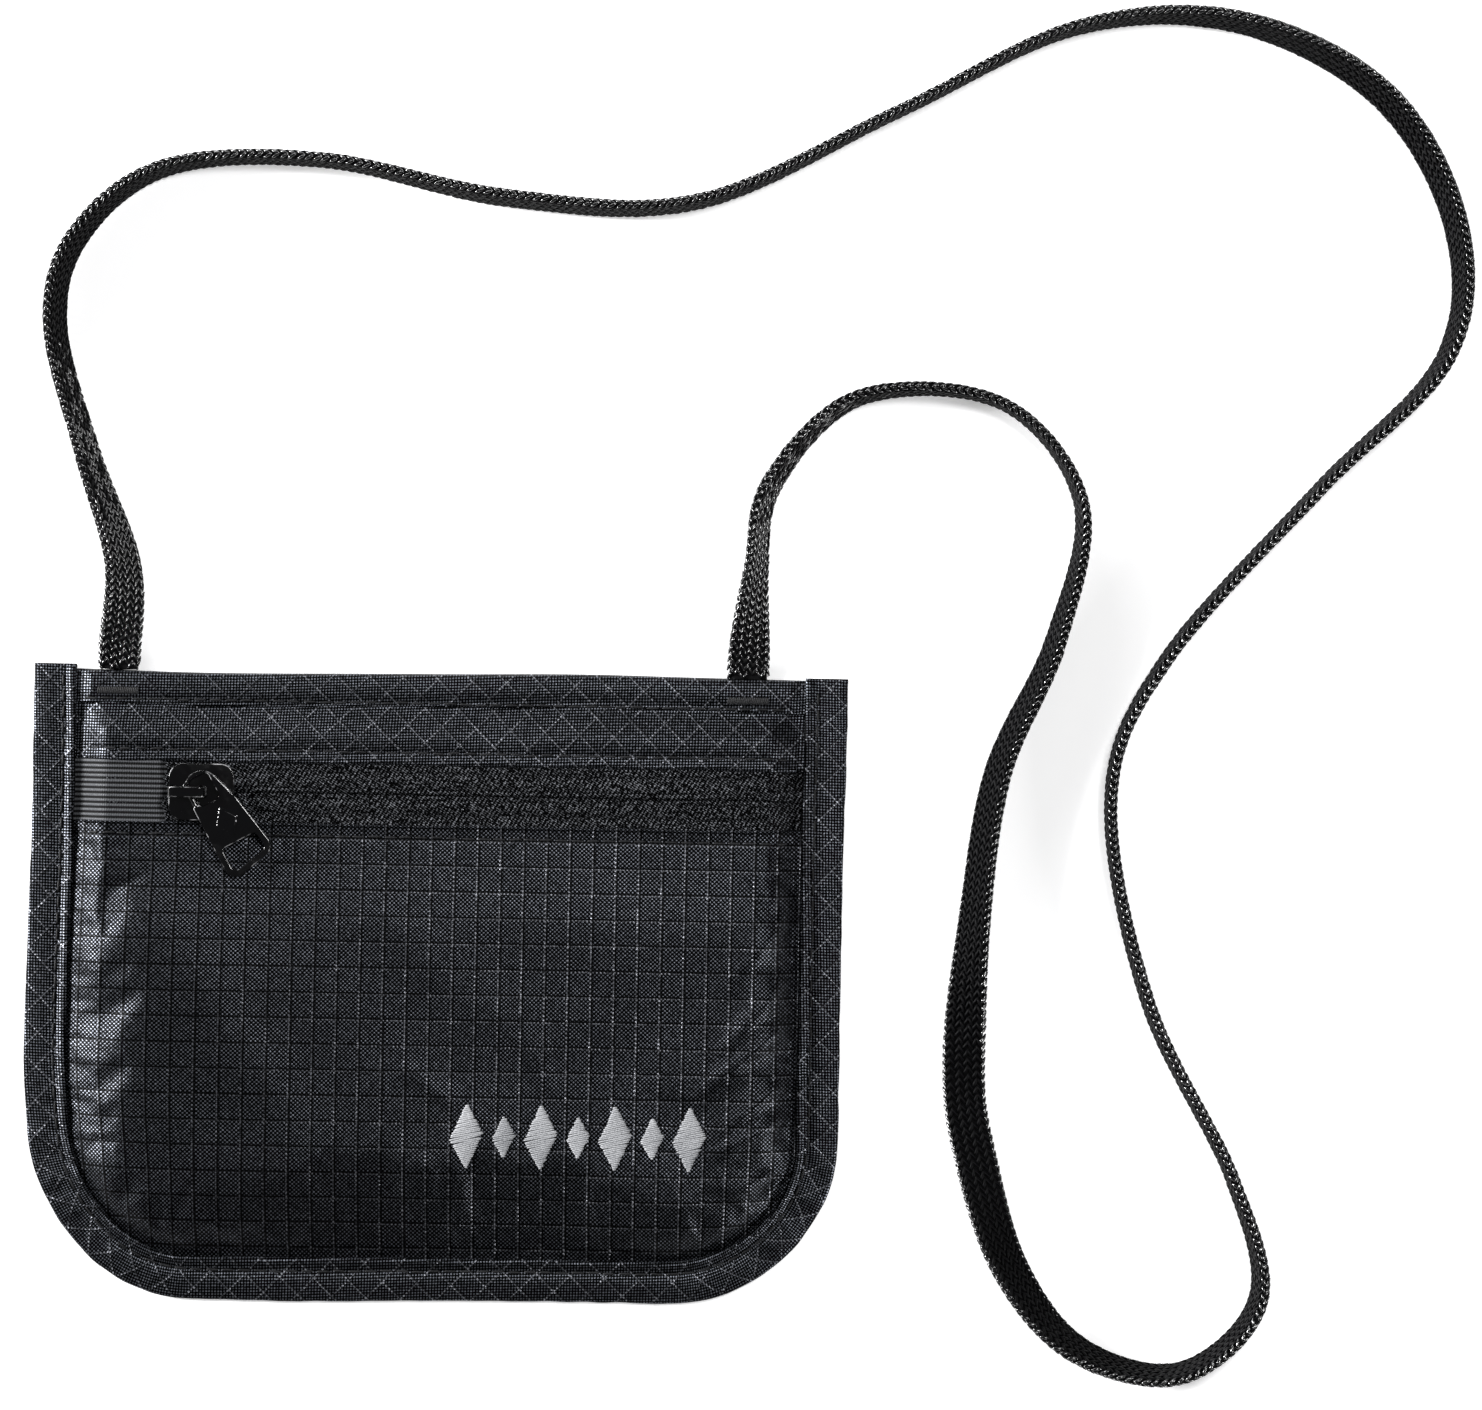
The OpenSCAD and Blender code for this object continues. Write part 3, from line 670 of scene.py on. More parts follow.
FOLDS = [
    # from x, y to x, y, height, width: slack drawn from the right seam towards the row of diamonds
    (64, 18, 49, -2, 1.3, 1.7), (65, 8, 46, -15, 1.6, 1.8), (65, -2, 42, -21, 1.7, 1.7),
    (65, -12, 46, -27, 1.2, 1.2), (65, -20, 45, -30, 1.5, 1.4), (63, -30, 47, -38, 1.0, 1.3),
    (63, 25, 55, 10, 0.8, 1.4), (61, -37, 46, -44, 0.9, 1.3),
    # round the stitched diamonds
    (2, -30, -9, -40, 0.4, 1.3), (6, -32, 4, -46, 0.4, 1.2), (16, -32, 12, -47, 0.35, 1.3),
    (27, -32, 30, -47, 0.4, 1.3), (40, -31, 46, -45, 0.45, 1.2), (4, -21, -8, -12, 0.35, 1.6),
    (20, -20, 16, -6, 0.25, 1.8), (40, -20, 44, -6, 0.3, 1.6),
    # long soft folds of the whole front
    (-52, 18, -12, -46, 0.55, 7.0), (-20, 20, 30, -20, 0.5, 8.0), (-58, -8, -30, -50, 0.4, 5.0),
]


def panel_z(x, y):
    """Height of the front panel: its slopes, long folds and the puckers along its seams."""
    d = inset(x, y)
    left = rise((-x - 20) / 40)
    ramp = np.clip((d - SLOPE_IN) / (SLOPE_W * (1 - 0.12 * left)), 0, 1)
    crisp = 0.55 * np.minimum(ramp * 1.07, 1 - 0.25 * (1 - ramp) ** 2) + 0.45 * rise(ramp)
    z = FLANGE_Z + (FACE_Z - FLANGE_Z) * (rise(ramp) * (1 - left) + crisp * left)
    # the hollow in the lower left corner, and the long swell beside it
    away = ((x + 60) * 47 + (y + 5) * 55) / math.hypot(47, 55)
    inner = rise((d - SLOPE_IN - 3) / 14) * rise((PANEL_Y - 6 - y) / 22)
    z = z + inner * (1.2 * bump((away - 4) / 60) - 3.0 * rise(-away / 30))
    free = rise((d - SLOPE_IN) / 3.5) * rise((PANEL_Y - y) / 7)
    for fold in FOLDS:
        z = z + free * ridge(x, y, *fold)
    z = z + free * (0.5 * soft_noise(x, y, 24, 3) + 0.16 * soft_noise(x, y, 9, 4))
    # puckers along the seams
    around = np.arctan2(y + 27, x) * 60
    near = bump((d - SLOPE_IN - 2.5) / 5.5)
    z = z + 0.24 * near * free * soft_noise(around + 0.3 * y, d * 0.25, 2.6, 5)
    stitch = PANEL_Y - EDGE_STITCH
    z = z - 0.17 * bump((y - stitch) / 0.9) * (1 + 0.5 * soft_noise(x, 0, 1.6, 6))
    z = z + 0.1 * bump((y - stitch + 2.4) / 3) * soft_noise(x, y * 0.2, 2.4, 8)
    return z


def outline_points(margin, y_end, step):
    """The rounded outline moved in by margin, from the top left round to the top right."""
    r = CORNER_R - margin
    cx, cy = HALF_W - CORNER_R, BOTTOM_Y + CORNER_R
    path = [(-HALF_W + margin, y_end), (-HALF_W + margin, cy)]
    arc = np.linspace(0, PI / 2, 40)[1:]
    path += [(-cx - r * math.cos(a), cy - r * math.sin(a)) for a in arc]
    path += [(cx + r * math.sin(a), cy - r * math.cos(a)) for a in np.concatenate([[0], arc])]
    path.append((HALF_W - margin, y_end))
    curve = np.array([(x, y, 0) for x, y in path], float)
    return resample(curve, step)


def filled(margin, y_end, spacing):
    """Triangles that fill the outline: points and faces of an even mesh."""
    rim, _ = outline_points(margin, y_end, spacing)
    count = int((HALF_W * 2 - 2 * margin) / spacing)
    top = np.linspace(HALF_W - margin, -HALF_W + margin, count + 1)[1:-1]
    rim = np.vstack([rim[:, :2], np.stack([top, np.full(len(top), y_end)], 1)])
    xs = np.arange(-HALF_W, HALF_W, spacing)
    ys = np.arange(BOTTOM_Y, y_end, spacing * 0.866)
    gx, gy = np.meshgrid(xs, ys)
    gx = gx + (np.arange(len(ys)) % 2)[:, None] * spacing / 2
    keep = (inset(gx, gy) > margin + spacing * 0.55) & (gy < y_end - spacing * 0.5)
    points = np.vstack([rim, np.stack([gx[keep], gy[keep]], 1)])
    edges = [(i, (i + 1) % len(rim)) for i in range(len(rim))]
    out = geometry.delaunay_2d_cdt([Vector(p) for p in points], edges, [], 1, 1e-7)
    return np.array([list(p) for p in out[0]]), [list(f) for f in out[2]]


SIM_SCALE = 10.0  # the settling cloth is ten times life size, where the solver is steady


def simulate(points, faces, held, pressure, slack, frames, cap):
    """Cloth held at some points, puffed a little and with some slack; returns where it settles."""
    mesh = bpy.data.meshes.new("settling")
    mesh.from_pydata((points * MM * SIM_SCALE).tolist(), [], faces)
    obj = show(bpy.data.objects.new("settling", mesh))
    group = obj.vertex_groups.new(name="held")
    group.add([int(i) for i in np.nonzero(held)[0]], 1.0, "REPLACE")
    cloth = obj.modifiers.new("Cloth", "CLOTH")
    s = cloth.settings
    s.quality = 6
    s.mass = 0.25
    s.tension_stiffness = s.compression_stiffness = 18
    s.shear_stiffness = 8
    s.bending_stiffness = 0.12
    s.air_damping = 4
    s.use_pressure = True
    s.uniform_pressure_force = pressure
    s.shrink_min = s.shrink_max = -slack
    s.effector_weights.gravity = 0
    s.vertex_group_mass = "held"
    cloth.point_cache.frame_start = 1
    cloth.point_cache.frame_end = frames
    scene = bpy.context.scene
    for f in range(1, frames + 1):
        scene.frame_set(f)
    settled = obj.evaluated_get(bpy.context.evaluated_depsgraph_get()).to_mesh()
    co = np.zeros(len(settled.vertices) * 3)
    settled.vertices.foreach_get("co", co)
    co = co.reshape(-1, 3) / (MM * SIM_SCALE)
    scene.frame_set(1)
    bpy.data.objects.remove(obj)
    move = co - points
    size = np.linalg.norm(move, axis=1, keepdims=True)
    return points + move * np.minimum(1, cap[:, None] / np.maximum(size, 1e-9))


def applied(obj):
    """Puts the result of an object's modifiers into its mesh."""
    graph = bpy.context.evaluated_depsgraph_get()
    mesh = bpy.data.meshes.new_from_object(obj.evaluated_get(graph))
    obj.modifiers.clear()
    obj.data = mesh
    return obj


def subdivided(obj):
    """Applies one level of subdivision surface to a piece."""
    modifier = obj.modifiers.new("fine", "SUBSURF")
    modifier.levels = modifier.render_levels = 1
    return applied(obj)


def surface(obj):
    """A tree to find a piece's height with."""
    mesh = obj.data
    return BVHTree.FromPolygons([v.co.copy() for v in mesh.vertices],
                                [tuple(p.vertices) for p in mesh.polygons])


def drape(tree, points, lift):
    """Lowers points in millimetres onto a surface, plus a lift."""
    out = np.array(points, float)
    for p in out:
        hit = tree.ray_cast(Vector((p[0] * MM, p[1] * MM, RAY_FROM)), Vector((0, 0, -1)))
        if hit[0] is not None:
            p[2] = hit[0].z / MM + lift
    return out


def hemmed(points, faces, y_fold, side):
    """Cloth whose edge at y_fold is turned under; side is 1 if the fold faces up, -1 if down.
    Returns points, faces and flat thread coordinates."""
    edge = np.nonzero(np.abs(points[:, 1] - y_fold) < 1e-4)[0]
    edge = edge[np.argsort(points[edge, 0])]
    turn = [(0.22, -0.07), (0.38, -0.24), (0.42, -0.45), (0.33, -0.62), (0.0, -0.7), (-HEM, -0.7)]
    faces, last, total = list(faces), edge, len(points)
    rows, flat = [points], [points[:, :2]]
    wobble = 0.14 * soft_noise(points[edge, 0], 0, 7, 12)
    lowest = np.maximum(face_z(points[edge, 0]) - 0.75, 0.95)
    for k, (dy, dz) in enumerate(turn):
        row = points[edge].copy()
        row[:, 1] += side * (dy + wobble * min(1, (k + 1) / 2))
        row[:, 2] = np.maximum(row[:, 2] + dz, lowest)
        rows.append(row)
        flat.append(np.stack([row[:, 0], np.full(len(edge), y_fold + side * 0.35 * (k + 1))], 1))
        new = np.arange(total, total + len(edge))
        for i in range(len(edge) - 1):
            quad = [last[i], last[i + 1], new[i + 1], new[i]]
            faces.append(quad[::-1] if side > 0 else quad)
        total += len(edge)
        last = new
    return np.vstack(rows), [[int(v) for v in f] for f in faces], np.vstack(flat)


# ---- front panel
flat, panel_faces = filled(1.0, PANEL_Y, 1.25)
panel = cloud(flat[:, 0], flat[:, 1], panel_z(flat[:, 0], flat[:, 1]))
depth_in = inset(panel[:, 0], panel[:, 1])
held = (depth_in < SLOPE_IN + 0.3) | (panel[:, 1] > PANEL_Y - 2.3)
from_zip = rise((PANEL_Y - 4 - panel[:, 1]) / 14)
panel = simulate(panel, panel_faces, held, pressure=2.0, slack=0.012, frames=20,
                 cap=0.25 + 1.1 * from_zip)
panel, panel_faces, thread_uv = hemmed(panel, panel_faces, PANEL_Y, 1)
front = piece("front_panel_cloth", panel, panel_faces, CLOTH,
              threads(thread_uv[:, 0] + 0.9, thread_uv[:, 1] + 1.6))
subdivided(front)
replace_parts(front, "front_panel")
front_tree = surface(front)


# ---- back panel
flat, back_faces = filled(0.8, TOP_Y - 0.5, 2.2)
x, y = flat[:, 0], flat[:, 1]
dish = rise((inset(x, y) - BINDING_W) / 3) * rise((BINDING_Y - 0.2 - y) / 3)
back_z = 0.55 - 0.5 * dish + dish * (0.06 + 0.06 * soft_noise(x, y, 12, 21))
back = piece("back_panel_cloth", cloud(x, y, back_z), [f[::-1] for f in back_faces], CLOTH,
             threads(x, y))
subdivided(back)
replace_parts(back, "back_panel")


# ---- top strip above the zip
def strip_height(x, y):
    """Height of the strip: up from the seam, with a soft roll and puckers at its stitching."""
    slope = SEAM_Z + (FACE_Z - SEAM_Z) * rise((BINDING_Y - y) / 6)
    roll = 0.35 * bump((y - 44) / 4.5)
    z = FLANGE_Z + (slope + roll - FLANGE_Z) * rise((HALF_W - np.abs(x) - SLOPE_IN) / SLOPE_W)
    free = rise((HALF_W - np.abs(x) - SLOPE_IN) / 5)
    z = z + free * (0.28 * soft_noise(x, y * 1.4, 15, 31) + 0.1 * soft_noise(x, y * 0.5, 4.5, 32))
    stitch = STRIP_Y + EDGE_STITCH
    z = z - 0.22 * bump((y - stitch) / 0.9) * free
    z = z + 0.13 * free * bump((y - stitch - 1.6) / 2.2) * soft_noise(x, 0, 2.3, 33)
    return np.maximum(z, 1.35)


def strip_piece():
    """The strip on the bias, from under the top binding to its folded edge at the zip."""
    xs = np.linspace(-HALF_W + 1, HALF_W - 1, 300)
    ys = np.linspace(STRIP_Y, TOP_Y - 1.2, 42)
    gx, gy = np.meshgrid(xs, ys)
    z = strip_height(gx, gy)
    z = np.where(gy > BINDING_Y + 0.4, np.minimum(z, SEAM_Z - 0.1), z)
    points = cloud(gx, gy, z)
    faces = grid_faces(len(ys), len(xs)).tolist()
    points, faces, cut = hemmed(points, faces, STRIP_Y, -1)
    u, v = diagonal(cut[:, 0], cut[:, 1])
    obj = piece("top_strip_cloth", points, faces, BIAS_LIT, threads(u, v))
    return subdivided(obj)


strip = strip_piece()
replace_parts(strip, "top_strip")
strip_tree = surface(strip)


# ---- bindings
def sweep_binding():
    """The side binding: a folded bias strip round three sides with a rolled inner edge."""
    left_end, right_end = -0.7, TOP_Y + 0.4 - SIDE_HI[1]
    outer, length = outline_points(0, SIDE_HI[1], 0.55)
    n = len(outer)
    s = np.linspace(0, length, n)
    tangent = unit(np.gradient(outer[:, :2], axis=0))
    inward = np.stack([-tangent[:, 1], tangent[:, 0]], 1)
    turn = bump((s - 96) / 32) + bump((s - length + 96) / 32)
    section = np.array([  # distance in from the outline, and height
        (6.6, 0.42), (7.3, 0.34), (7.4, 0.16), (7.0, 0.03), (5.2, 0.05), (3.0, 0.03), (1.2, 0.05),
        (0.4, 0.24), (0.04, 0.6), (0.04, 0.95), (0.3, 1.2), (0.9, 1.38), (1.7, 1.53), (2.6, 1.68),
        (3.4, 1.76), (4.1, 1.76), (4.7, 1.64), (5.2, 1.5), (5.6, 1.6), (6.0, 1.82), (6.4, 2.1),
        (6.75, 2.26), (7.1, 2.22), (7.36, 1.98), (7.46, 1.68), (7.3, 1.42), (6.6, 1.36),
    ])
    gs, gt = np.meshgrid(s, section[:, 0], indexing="ij")
    gz = np.tile(section[:, 1], (n, 1))
    front_side = rise((gz - 1.0) / 0.5)
    flap = bump((gt - 3.2) / 3.0)
    gather = (0.1 + 0.45 * turn)[:, None]
    gz = gz + front_side * flap * gather * soft_noise(gs, gt * 0.5, 2.3, 41)
    gz = gz + front_side * 0.12 * soft_noise(gs, gt, 9, 42)
    roll = rise((gt - 5.8) / 0.8) * (0.1 + 0.12 * turn)[:, None]
    gz = gz + front_side * roll * soft_noise(gs, 0, 1.7, 43)
    gt = gt + (0.16 + 0.2 * turn)[:, None] * soft_noise(gs, 0, 6, 44) * rise((gt - 4) / 3)
    gt = gt + 0.12 * soft_noise(gs, 0, 3.1, 45) * bump(gt / 2)
    x = outer[:, None, 0] + inward[:, None, 0] * gt
    y = outer[:, None, 1] + inward[:, None, 1] * gt
    end = np.minimum(s, length - s)
    shut = rise(1 - end / 0.9)[:, None]
    gz = gz * (1 - 0.45 * shut) + 0.9 * 0.45 * shut
    side_left = (s < length / 2)[:, None]
    stretch = rise((y - 40) / 12)
    y = y + stretch * np.where(side_left, left_end, right_end)
    points = cloud(x, y, gz)
    u, v = diagonal(gs.ravel(), gt.ravel() + np.where(gz.ravel() < 0.8, 2.0, 0.0))
    faces = grid_faces(n, len(section)).tolist()
    obj = piece("side_binding_cloth", points, faces, BIAS_LIT, threads(u, v))
    return subdivided(obj), length


side, side_length = sweep_binding()
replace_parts(side, "side_binding")
side_tree = surface(side)


def top_binding_piece():
    """The strip folded over the top edge, with its turned-in lower edge."""
    xs = np.linspace(-62.8, 62.8, 260)
    section = np.array([  # distance up from the binding's lower edge, and height
        (1.0, 0.42), (0.1, 0.34), (0.0, 0.14), (0.5, 0.03), (2.4, 0.05), (4.4, 0.06), (5.3, 0.22),
        (5.68, 0.6), (5.72, 1.15), (5.66, 1.75), (5.42, 2.35), (4.9, 2.8), (4.1, 3.06), (3.2, 3.14),
        (2.3, 3.1), (1.5, 2.98), (0.95, 2.82), (0.55, 2.76), (0.2, 2.84), (-0.02, 2.8),
        (-0.1, 2.62), (0.0, 2.42), (0.7, 2.4),
    ])
    gx, gt = np.meshgrid(xs, section[:, 0], indexing="ij")
    gz = np.tile(section[:, 1], (len(xs), 1))
    front_side = rise((gz - 1.2) / 0.8)
    limit = face_z(gx) + 0.55
    gz = np.where(gz > 1.0, np.minimum(gz, limit + (gz - 3.1) * 0.4), gz)
    uneven = 0.16 * soft_noise(gx, gt, 11, 51) + 0.09 * soft_noise(gx, gt * 0.5, 3.4, 52)
    gz = gz + front_side * uneven
    edge = bump(gt / 1.6) * front_side
    gz = gz + edge * 0.12 * soft_noise(gx, 0, 2.0, 53)
    gt = gt + edge * 0.2 * soft_noise(gx, 0, 5, 54)
    gt = gt + 0.18 * soft_noise(gx, 0, 22, 55) * rise((gt - 4) / 1.5)
    points = cloud(gx, BINDING_Y + gt, gz)
    u, v = diagonal(gx.ravel(), gt.ravel() + np.where(gz.ravel() < 0.8, 3.0, 0.0) + 1.2)
    faces = grid_faces(*gx.shape).tolist()
    obj = piece("top_binding_cloth", points, faces, BIAS_LIT, threads(u, v))
    return subdivided(obj)


top = top_binding_piece()
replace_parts(top, "top_binding")
top_tree = surface(top)


# ---- zip
def tape_piece(name, y_near, y_far, direction):
    """A knitted tape: a slight ridge over its coil and a soft edge at the slit."""
    xs = np.linspace(-HALF_W + 1.2, HALF_W - 1.2, 280)
    across = np.concatenate([np.linspace(0, 3.4, 22), np.linspace(3.6, abs(y_far - y_near), 12)])
    gx, gt = np.meshgrid(xs, across, indexing="ij")
    free = rise((HALF_W - np.abs(gx) - SLOPE_IN) / 6)
    z = face_z(gx) - 0.32
    z = z + 0.13 * bump((gt - 1.3) / 1.6) * free - 0.1 * bump((gt - 3.0) / 0.6) * free
    z = z - 0.25 * bump(gt / 0.5) * free
    z = z + free * 0.1 * soft_noise(gx, gt * 1.2, 6, 61) + free * 0.03 * soft_noise(gx, gt, 1.4, 62)
    y = y_near + direction * gt
    faces = grid_faces(len(xs), len(across))
    if direction > 0:
        faces = faces[:, ::-1]
    points = cloud(gx, y, np.maximum(z, 1.0))
    obj = piece(name, points, faces.tolist(), TAPE)
    return subdivided(obj)


upper = tape_piece("zip_tape_upper_knit", UPPER_LO[1], UPPER_HI[1], 1)
lower = tape_piece("zip_tape_lower_knit", LOWER_HI[1], LOWER_LO[1], -1)
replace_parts(upper, "zip_tape_upper")
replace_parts(lower, "zip_tape_lower")


def coil_piece(name, node, mirror):
    """One side of the zip: a real helix of monofilament, flattened to the coil's section."""
    low, high = mm_box(node)
    pitch, wire = 1.3, 0.62
    turns = int((high[0] - low[0]) / pitch)
    a = np.linspace(0, 2 * PI * turns, turns * 16)
    half = (high[1] - low[1]) / 2 - wire / 2
    mid_z, half_z = min(high[2], TAPE_Z) - 0.55 - 0.85, 0.85 - wire / 2
    x = low[0] + 0.3 + pitch * a / (2 * PI)
    base = np.minimum(face_z(x) - FACE_Z, 0)
    y = (low[1] + high[1]) / 2 + mirror * half * np.cos(a)
    line = np.stack([x, y, mid_z + base + half_z * np.sin(a)], 1)
    forward = unit(np.gradient(line, axis=0))
    side_axis = unit(np.cross(forward, [1.0, 0, 0]))
    up = np.cross(side_axis, forward)
    ring = np.arange(6) * PI / 3  # the monofilament is six-sided
    points = (line[:, None] + side_axis[:, None] * (wire / 2 * np.cos(ring))[None, :, None]
              + up[:, None] * (wire / 2 * np.sin(ring))[None, :, None]).reshape(-1, 3)
    faces = grid_faces(len(line), 6, close=True).tolist()
    faces += [list(range(6))[::-1], [len(points) - 6 + k for k in range(6)]]
    obj = piece(name, points, faces, COIL)
    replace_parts(obj, node)


coil_piece("coil_upper", "zip_coil_upper", 1)
coil_piece("coil_lower", "zip_coil_lower", -1)


def closed_chain():
    """The tapes' inner edges drawn together over the closed coils, which the slider opens."""
    start, end = BODY_HI[0] - 5.0, HALF_W - 5.2
    xs = np.linspace(start, end, 420)
    half = [(0.03, -0.34), (0.07, -0.12), (0.2, -0.02), (0.45, 0.04), (0.7, 0.03), (0.95, -0.06)]
    section = np.array([(-t, z) for t, z in reversed(half)] + half)
    gx, gt = np.meshgrid(xs, section[:, 0], indexing="ij")
    gz = face_z(gx) - 0.33 + np.tile(section[:, 1], (len(xs), 1))
    gz = gz + 0.04 * soft_noise(gx, gt * 2, 0.9, 63)
    y = ZIP_Y + gt + 0.12 * soft_noise(gx, 0, 14, 64)
    points = cloud(gx, y, np.maximum(gz, 1.1))
    faces = grid_faces(*gx.shape)[:, ::-1].tolist()
    obj = piece("zip_chain_closed", points, faces, TAPE)
    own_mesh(obj)


closed_chain()


# ---- ribbed tab at the closed end
def end_tab():
    """The ribbon between the bindings and the slider, with its ribs along the zip."""
    ribs = 13
    xs = np.linspace(TAB_LO[0], TAB_HI[0], 70)
    ys = np.linspace(TAB_LO[1] - 0.35, TAB_HI[1] + 0.35, ribs * 8 + 1)
    gx, gy = np.meshgrid(xs, ys, indexing="ij")
    phase = (gy - ys[0]) / (ys[-1] - ys[0]) * ribs
    crest = np.maximum(np.sin(PI * (phase % 1)), 0) ** 0.8
    z = face_z(gx) - 0.08 + 0.13 * crest
    sag = 0.15 * bump((gx - (TAB_LO[0] + TAB_HI[0]) / 2) / 9)
    z = z - sag - 0.45 * (1 - rise((TAB_HI[0] - gx) / 1.2))
    z = z + 0.05 * soft_noise(gx, gy, 3.0, 71)
    y = gy + 0.12 * soft_noise(gx, 0, 9, 72)
    x = gx + np.where(gx > TAB_HI[0] - 1.5, 0.25 * soft_noise(gy, 0, 2.2, 73), 0)
    faces = grid_faces(len(xs), len(ys))[:, ::-1].tolist()
    # the rib crests ride in the weave attribute, where the ribbon's colour makes them light as
    # painted sheen and the gaps dark as painted shade
    obj = piece("zip_end_tab_ribbon", cloud(x, y, z), faces, RIBBON,
                cloud(x, y, crest))
    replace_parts(obj, "zip_end_tab")


end_tab()


# ---- stitching
STITCH = bean(8, 6, 0.55)
STITCH_W = 0.42


def seam(name, node, path, tree, pitch, length, seed):
    """Real stitches along a path, each lying in the cloth between two needle holes."""
    rng = np.random.default_rng(seed)
    line, run = resample(path, 0.25)
    starts = np.arange(pitch / 2, run - pitch / 2, pitch)
    starts = starts + rng.normal(0, 0.06, len(starts))
    at = np.linspace(0, run, len(line))

    def point(s):
        return np.stack([np.interp(s, at, line[:, k]) for k in range(3)], 1)

    a, b = point(starts - length / 2), point(starts + length / 2)
    middle = (a + b) / 2
    along = unit(b - a)
    across = unit(np.stack([-along[:, 1], along[:, 0], 0 * along[:, 0]], 1))
    middle = middle + across * rng.normal(0, 0.05, (len(middle), 1))
    reach = along * length / 2
    a, b = drape(tree, middle - reach, 0), drape(tree, middle + reach, 0)
    centre = drape(tree, middle, STITCH_W * 0.22)
    along = unit(b - a + across * rng.normal(0, 0.06, (len(a), 1)))
    up = np.cross(along, across)
    up = up * np.sign(up[:, 2:3])
    size = (length, STITCH_W, STITCH_W * 0.9)
    points, faces = grains(centre, along, across, up, size, STITCH)
    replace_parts(piece(name, points, faces, THREAD, bend=False), node)


def along_zip(half, y, sway, seed):
    """A line from side to side, swaying a little as sewn by hand."""
    xs = np.linspace(-half, half, 200)
    return cloud(xs, y + sway * soft_noise(xs, 0, 9, seed), 0 * xs)


path, _ = outline_points(SIDE_STITCH_IN, SIDE_HI[1] - 2.2, 0.5)
seam("side_stitches", "thread_side", warp(path), side_tree, 2.75, 2.1, 81)
seam("top_stitches", "thread_top", along_zip(62, TOP_STITCH_Y, 0.1, 82), top_tree, 2.7, 2.1, 82)
for which, y, tree, seed in (("upper", STRIP_Y + EDGE_STITCH, strip_tree, 83),
                             ("lower", PANEL_Y - EDGE_STITCH, front_tree, 84)):
    seam(f"zip_stitches_{which}", f"thread_zip_{which}", along_zip(61, y, 0.12, seed), tree,
         2.7, 2.05, seed)


def bar_tack_piece():
    """Close zigzag stitches across each end of the cord."""
    points, faces, total = [], [], 0
    n = 22
    low_y = mm_box("bar_tacks")[0][1] + np.zeros(n)
    for node in ("cord_end_left", "cord_end_right"):
        low, high = mm_box(node)
        xs = (low[0] + high[0]) / 2 + np.linspace(-3.4, 3.4, n)
        a = drape(top_tree, cloud(xs - 0.1, low_y, 0 * xs), 0)
        b = drape(top_tree, cloud(xs + 0.1, low_y + 1.2, 0 * xs), 0)
        along = unit(b - a)
        across = np.tile([1.0, 0, 0], (n, 1))
        up = np.cross(across, along)
        centres = (a + b) / 2 + [0, 0, 0.08]
        p, f = grains(centres, along, across, up, (1.35, 0.36, 0.3), STITCH)
        points.append(p)
        faces += [[v + total for v in face] for face in f]
        total += len(p)
    obj = piece("bar_tack_stitches", np.vstack(points), faces, THREAD, bend=False)
    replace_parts(obj, "bar_tacks")


bar_tack_piece()


def diamonds():
    """Seven satin-stitched diamonds, alternately large and small."""
    rng = np.random.default_rng(91)
    shape = bean(8, 8, 0.4)
    middle_y = (EMBLEM_LO[1] + EMBLEM_HI[1]) / 2
    large, small, count = (5.6, 11.0), (3.8, 7.0), 7
    centres, along, sizes = [], [], []
    middles = np.linspace(EMBLEM_LO[0] + large[0] / 2, EMBLEM_HI[0] - large[0] / 2, count)
    for i, cx in enumerate(middles):
        w, h = small if i % 2 else large
        for y in np.arange(-h / 2 + 0.2, h / 2 - 0.1, 0.33):
            long = w * (1 - abs(y) / (h / 2)) + 0.35
            centres.append([cx + rng.normal(0, 0.06), middle_y + y, 0])
            slant = 0.22 + rng.normal(0, 0.03)
            along.append([math.cos(slant), math.sin(slant), 0])
            sizes.append([long + rng.normal(0, 0.08), 0.42, 0.4 + 0.35 * min(1, long / 4)])
    centres, along = np.array(centres), np.array(along)
    centres = drape(front_tree, centres, 0.05)
    across = np.stack([-along[:, 1], along[:, 0], 0 * along[:, 0]], 1)
    up = np.tile([0, 0, 1.0], (len(along), 1))
    points, faces = grains(centres, along, across, up, np.array(sizes), shape)
    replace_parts(piece("emblem_satin", points, faces, SATIN, bend=False), "emblem")


diamonds()


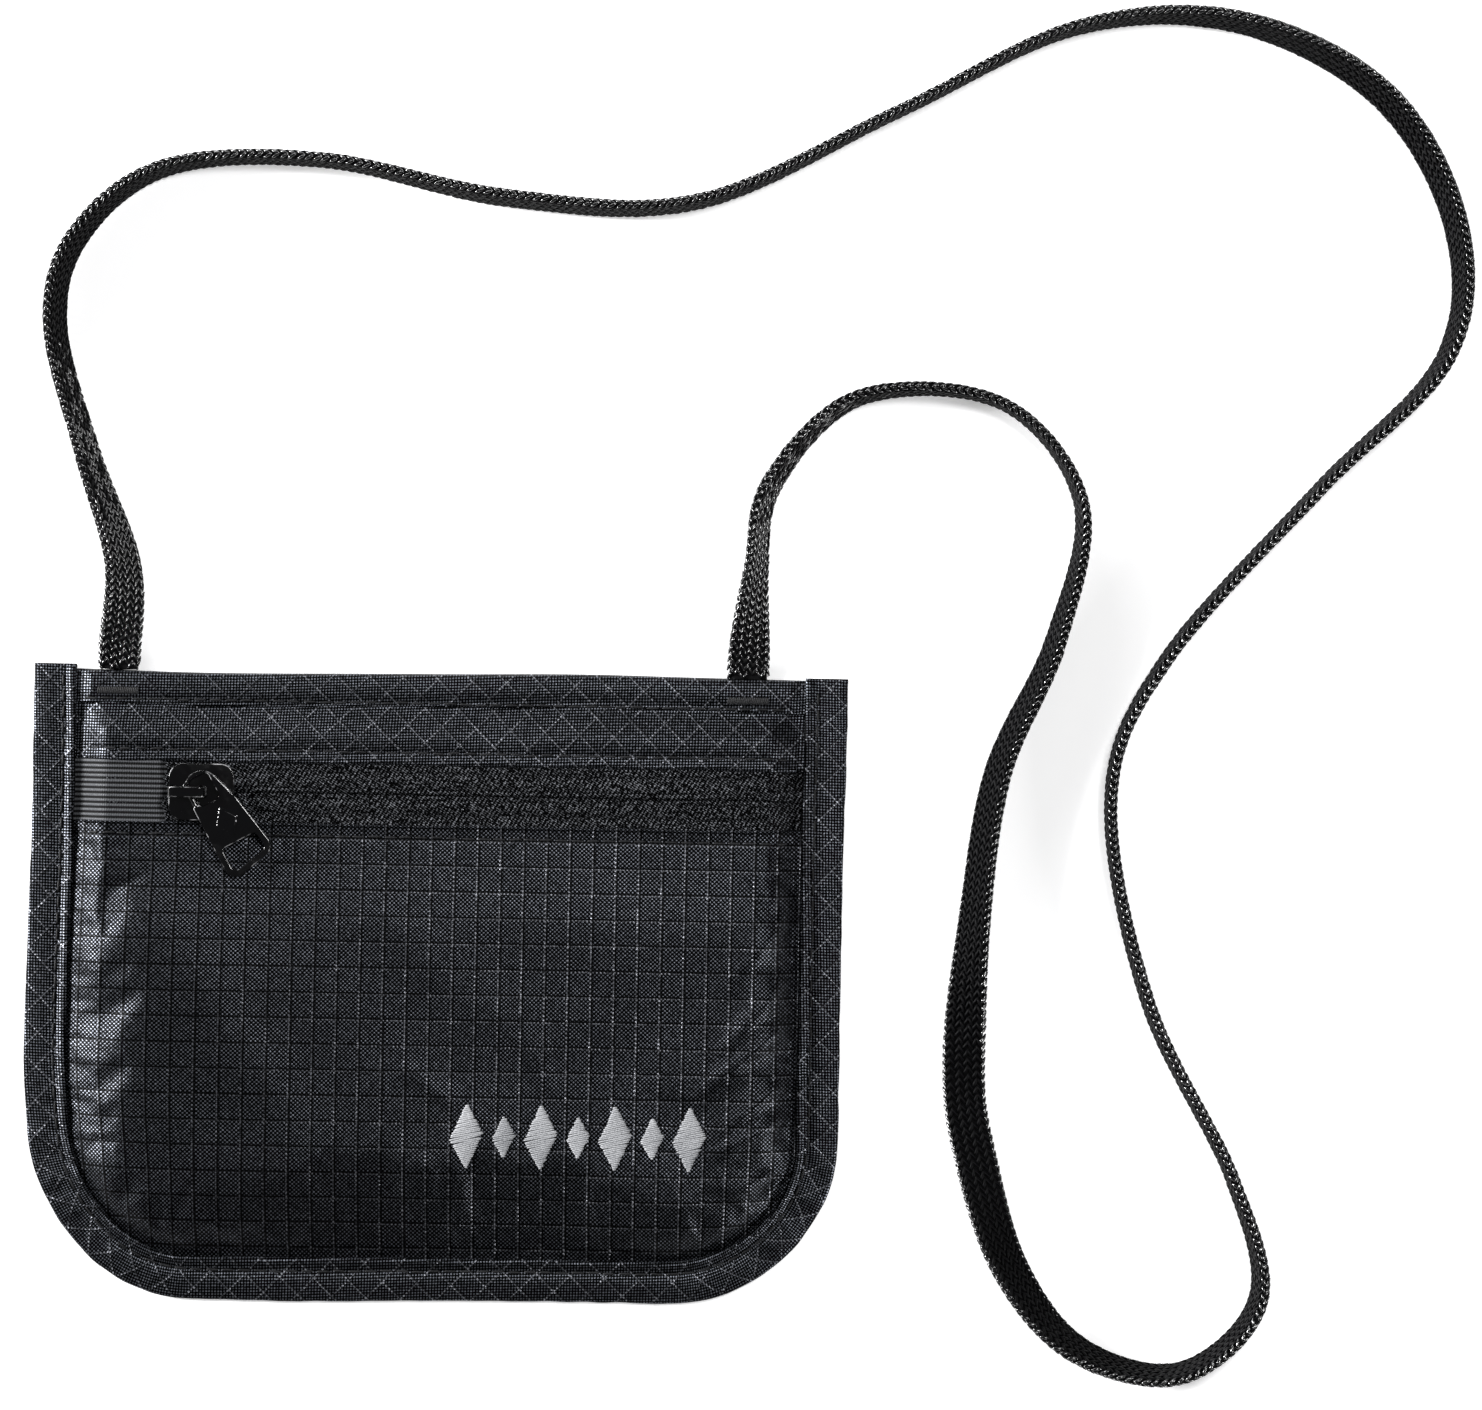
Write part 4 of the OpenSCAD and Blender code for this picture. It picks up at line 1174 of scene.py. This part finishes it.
# ---- slider and pull
def softened(node, name, voxel, rounds, body):
    """A finer copy of a cast part, with every edge rounded as the lacquer leaves it."""
    obj = show(bpy.data.objects.new(name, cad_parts[node].data.copy()))
    obj.data.materials.clear()
    obj.data.materials.append(LACQUER)
    remesh = obj.modifiers.new("remesh", "REMESH")
    remesh.mode = "VOXEL"
    remesh.voxel_size = voxel * MM
    relax = obj.modifiers.new("relax", "SMOOTH")
    relax.factor, relax.iterations = 0.5, rounds
    polygons = applied(obj).data.polygons
    polygons.foreach_set("use_smooth", [True] * len(polygons))
    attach(obj, body)
    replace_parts(obj, node)


softened("slider_body", "slider_body_cast", 0.12, 6, "slider")
softened("slider_bridge", "slider_bridge_cast", 0.08, 20, "slider")
softened("pull_tab", "pull_tab_cast", 0.1, 14, "pull")


# ---- floor and lights
def floor_piece():
    """A plain pale floor, with a weak glow that keeps it white in this soft light."""
    bm = bmesh.new()
    bmesh.ops.create_grid(bm, x_segments=8, y_segments=8, size=1.6)
    mesh = bpy.data.meshes.new("floor")
    bm.to_mesh(mesh)
    bm.free()
    n = Nodes("floor_paper")
    grain = n.noise(n.place(), 0.4, 2.0)
    n.set(Base_Color=n.mix(grain, (0.9, 0.9, 0.905), (0.93, 0.93, 0.935)), Roughness=0.9,
          Specular_IOR_Level=0.1, Emission_Color=(1, 1, 1, 1), Emission_Strength=0.35)
    mesh.materials.append(n.mat)
    show(bpy.data.objects.new("floor", mesh))


def area_light(name, at, size, power):
    """A soft light of size metres and power watts, aimed at the middle of the object."""
    data = bpy.data.lights.new(name, "AREA")
    data.shape = "RECTANGLE"
    data.size, data.size_y = size
    data.energy = power
    obj = show(bpy.data.objects.new(name, data))
    obj.location = at
    obj.rotation_euler = (Vector(MIDDLE) - Vector(at)).to_track_quat("-Z", "Y").to_euler()


floor_piece()
MIDDLE = (0.03, 0.03, 0)
area_light("key", (0.3, 0.34, 1.0), (0.2, 0.2), 6.2)
area_light("left", (-1.25, 0.3, 0.42), (0.22, 0.5), 50)
area_light("back", (-0.55, 1.25, 0.5), (0.7, 0.2), 9)
area_light("right", (1.2, -0.6, 0.4), (0.22, 0.4), 13)
world = bpy.data.worlds.new("studio")
world.use_nodes = True
background = world.node_tree.nodes["Background"].inputs
background["Color"].default_value = (1, 1, 1, 1)
background["Strength"].default_value = 0.08
bpy.context.scene.world = world
bpy.context.scene.view_settings.view_transform = "Standard"
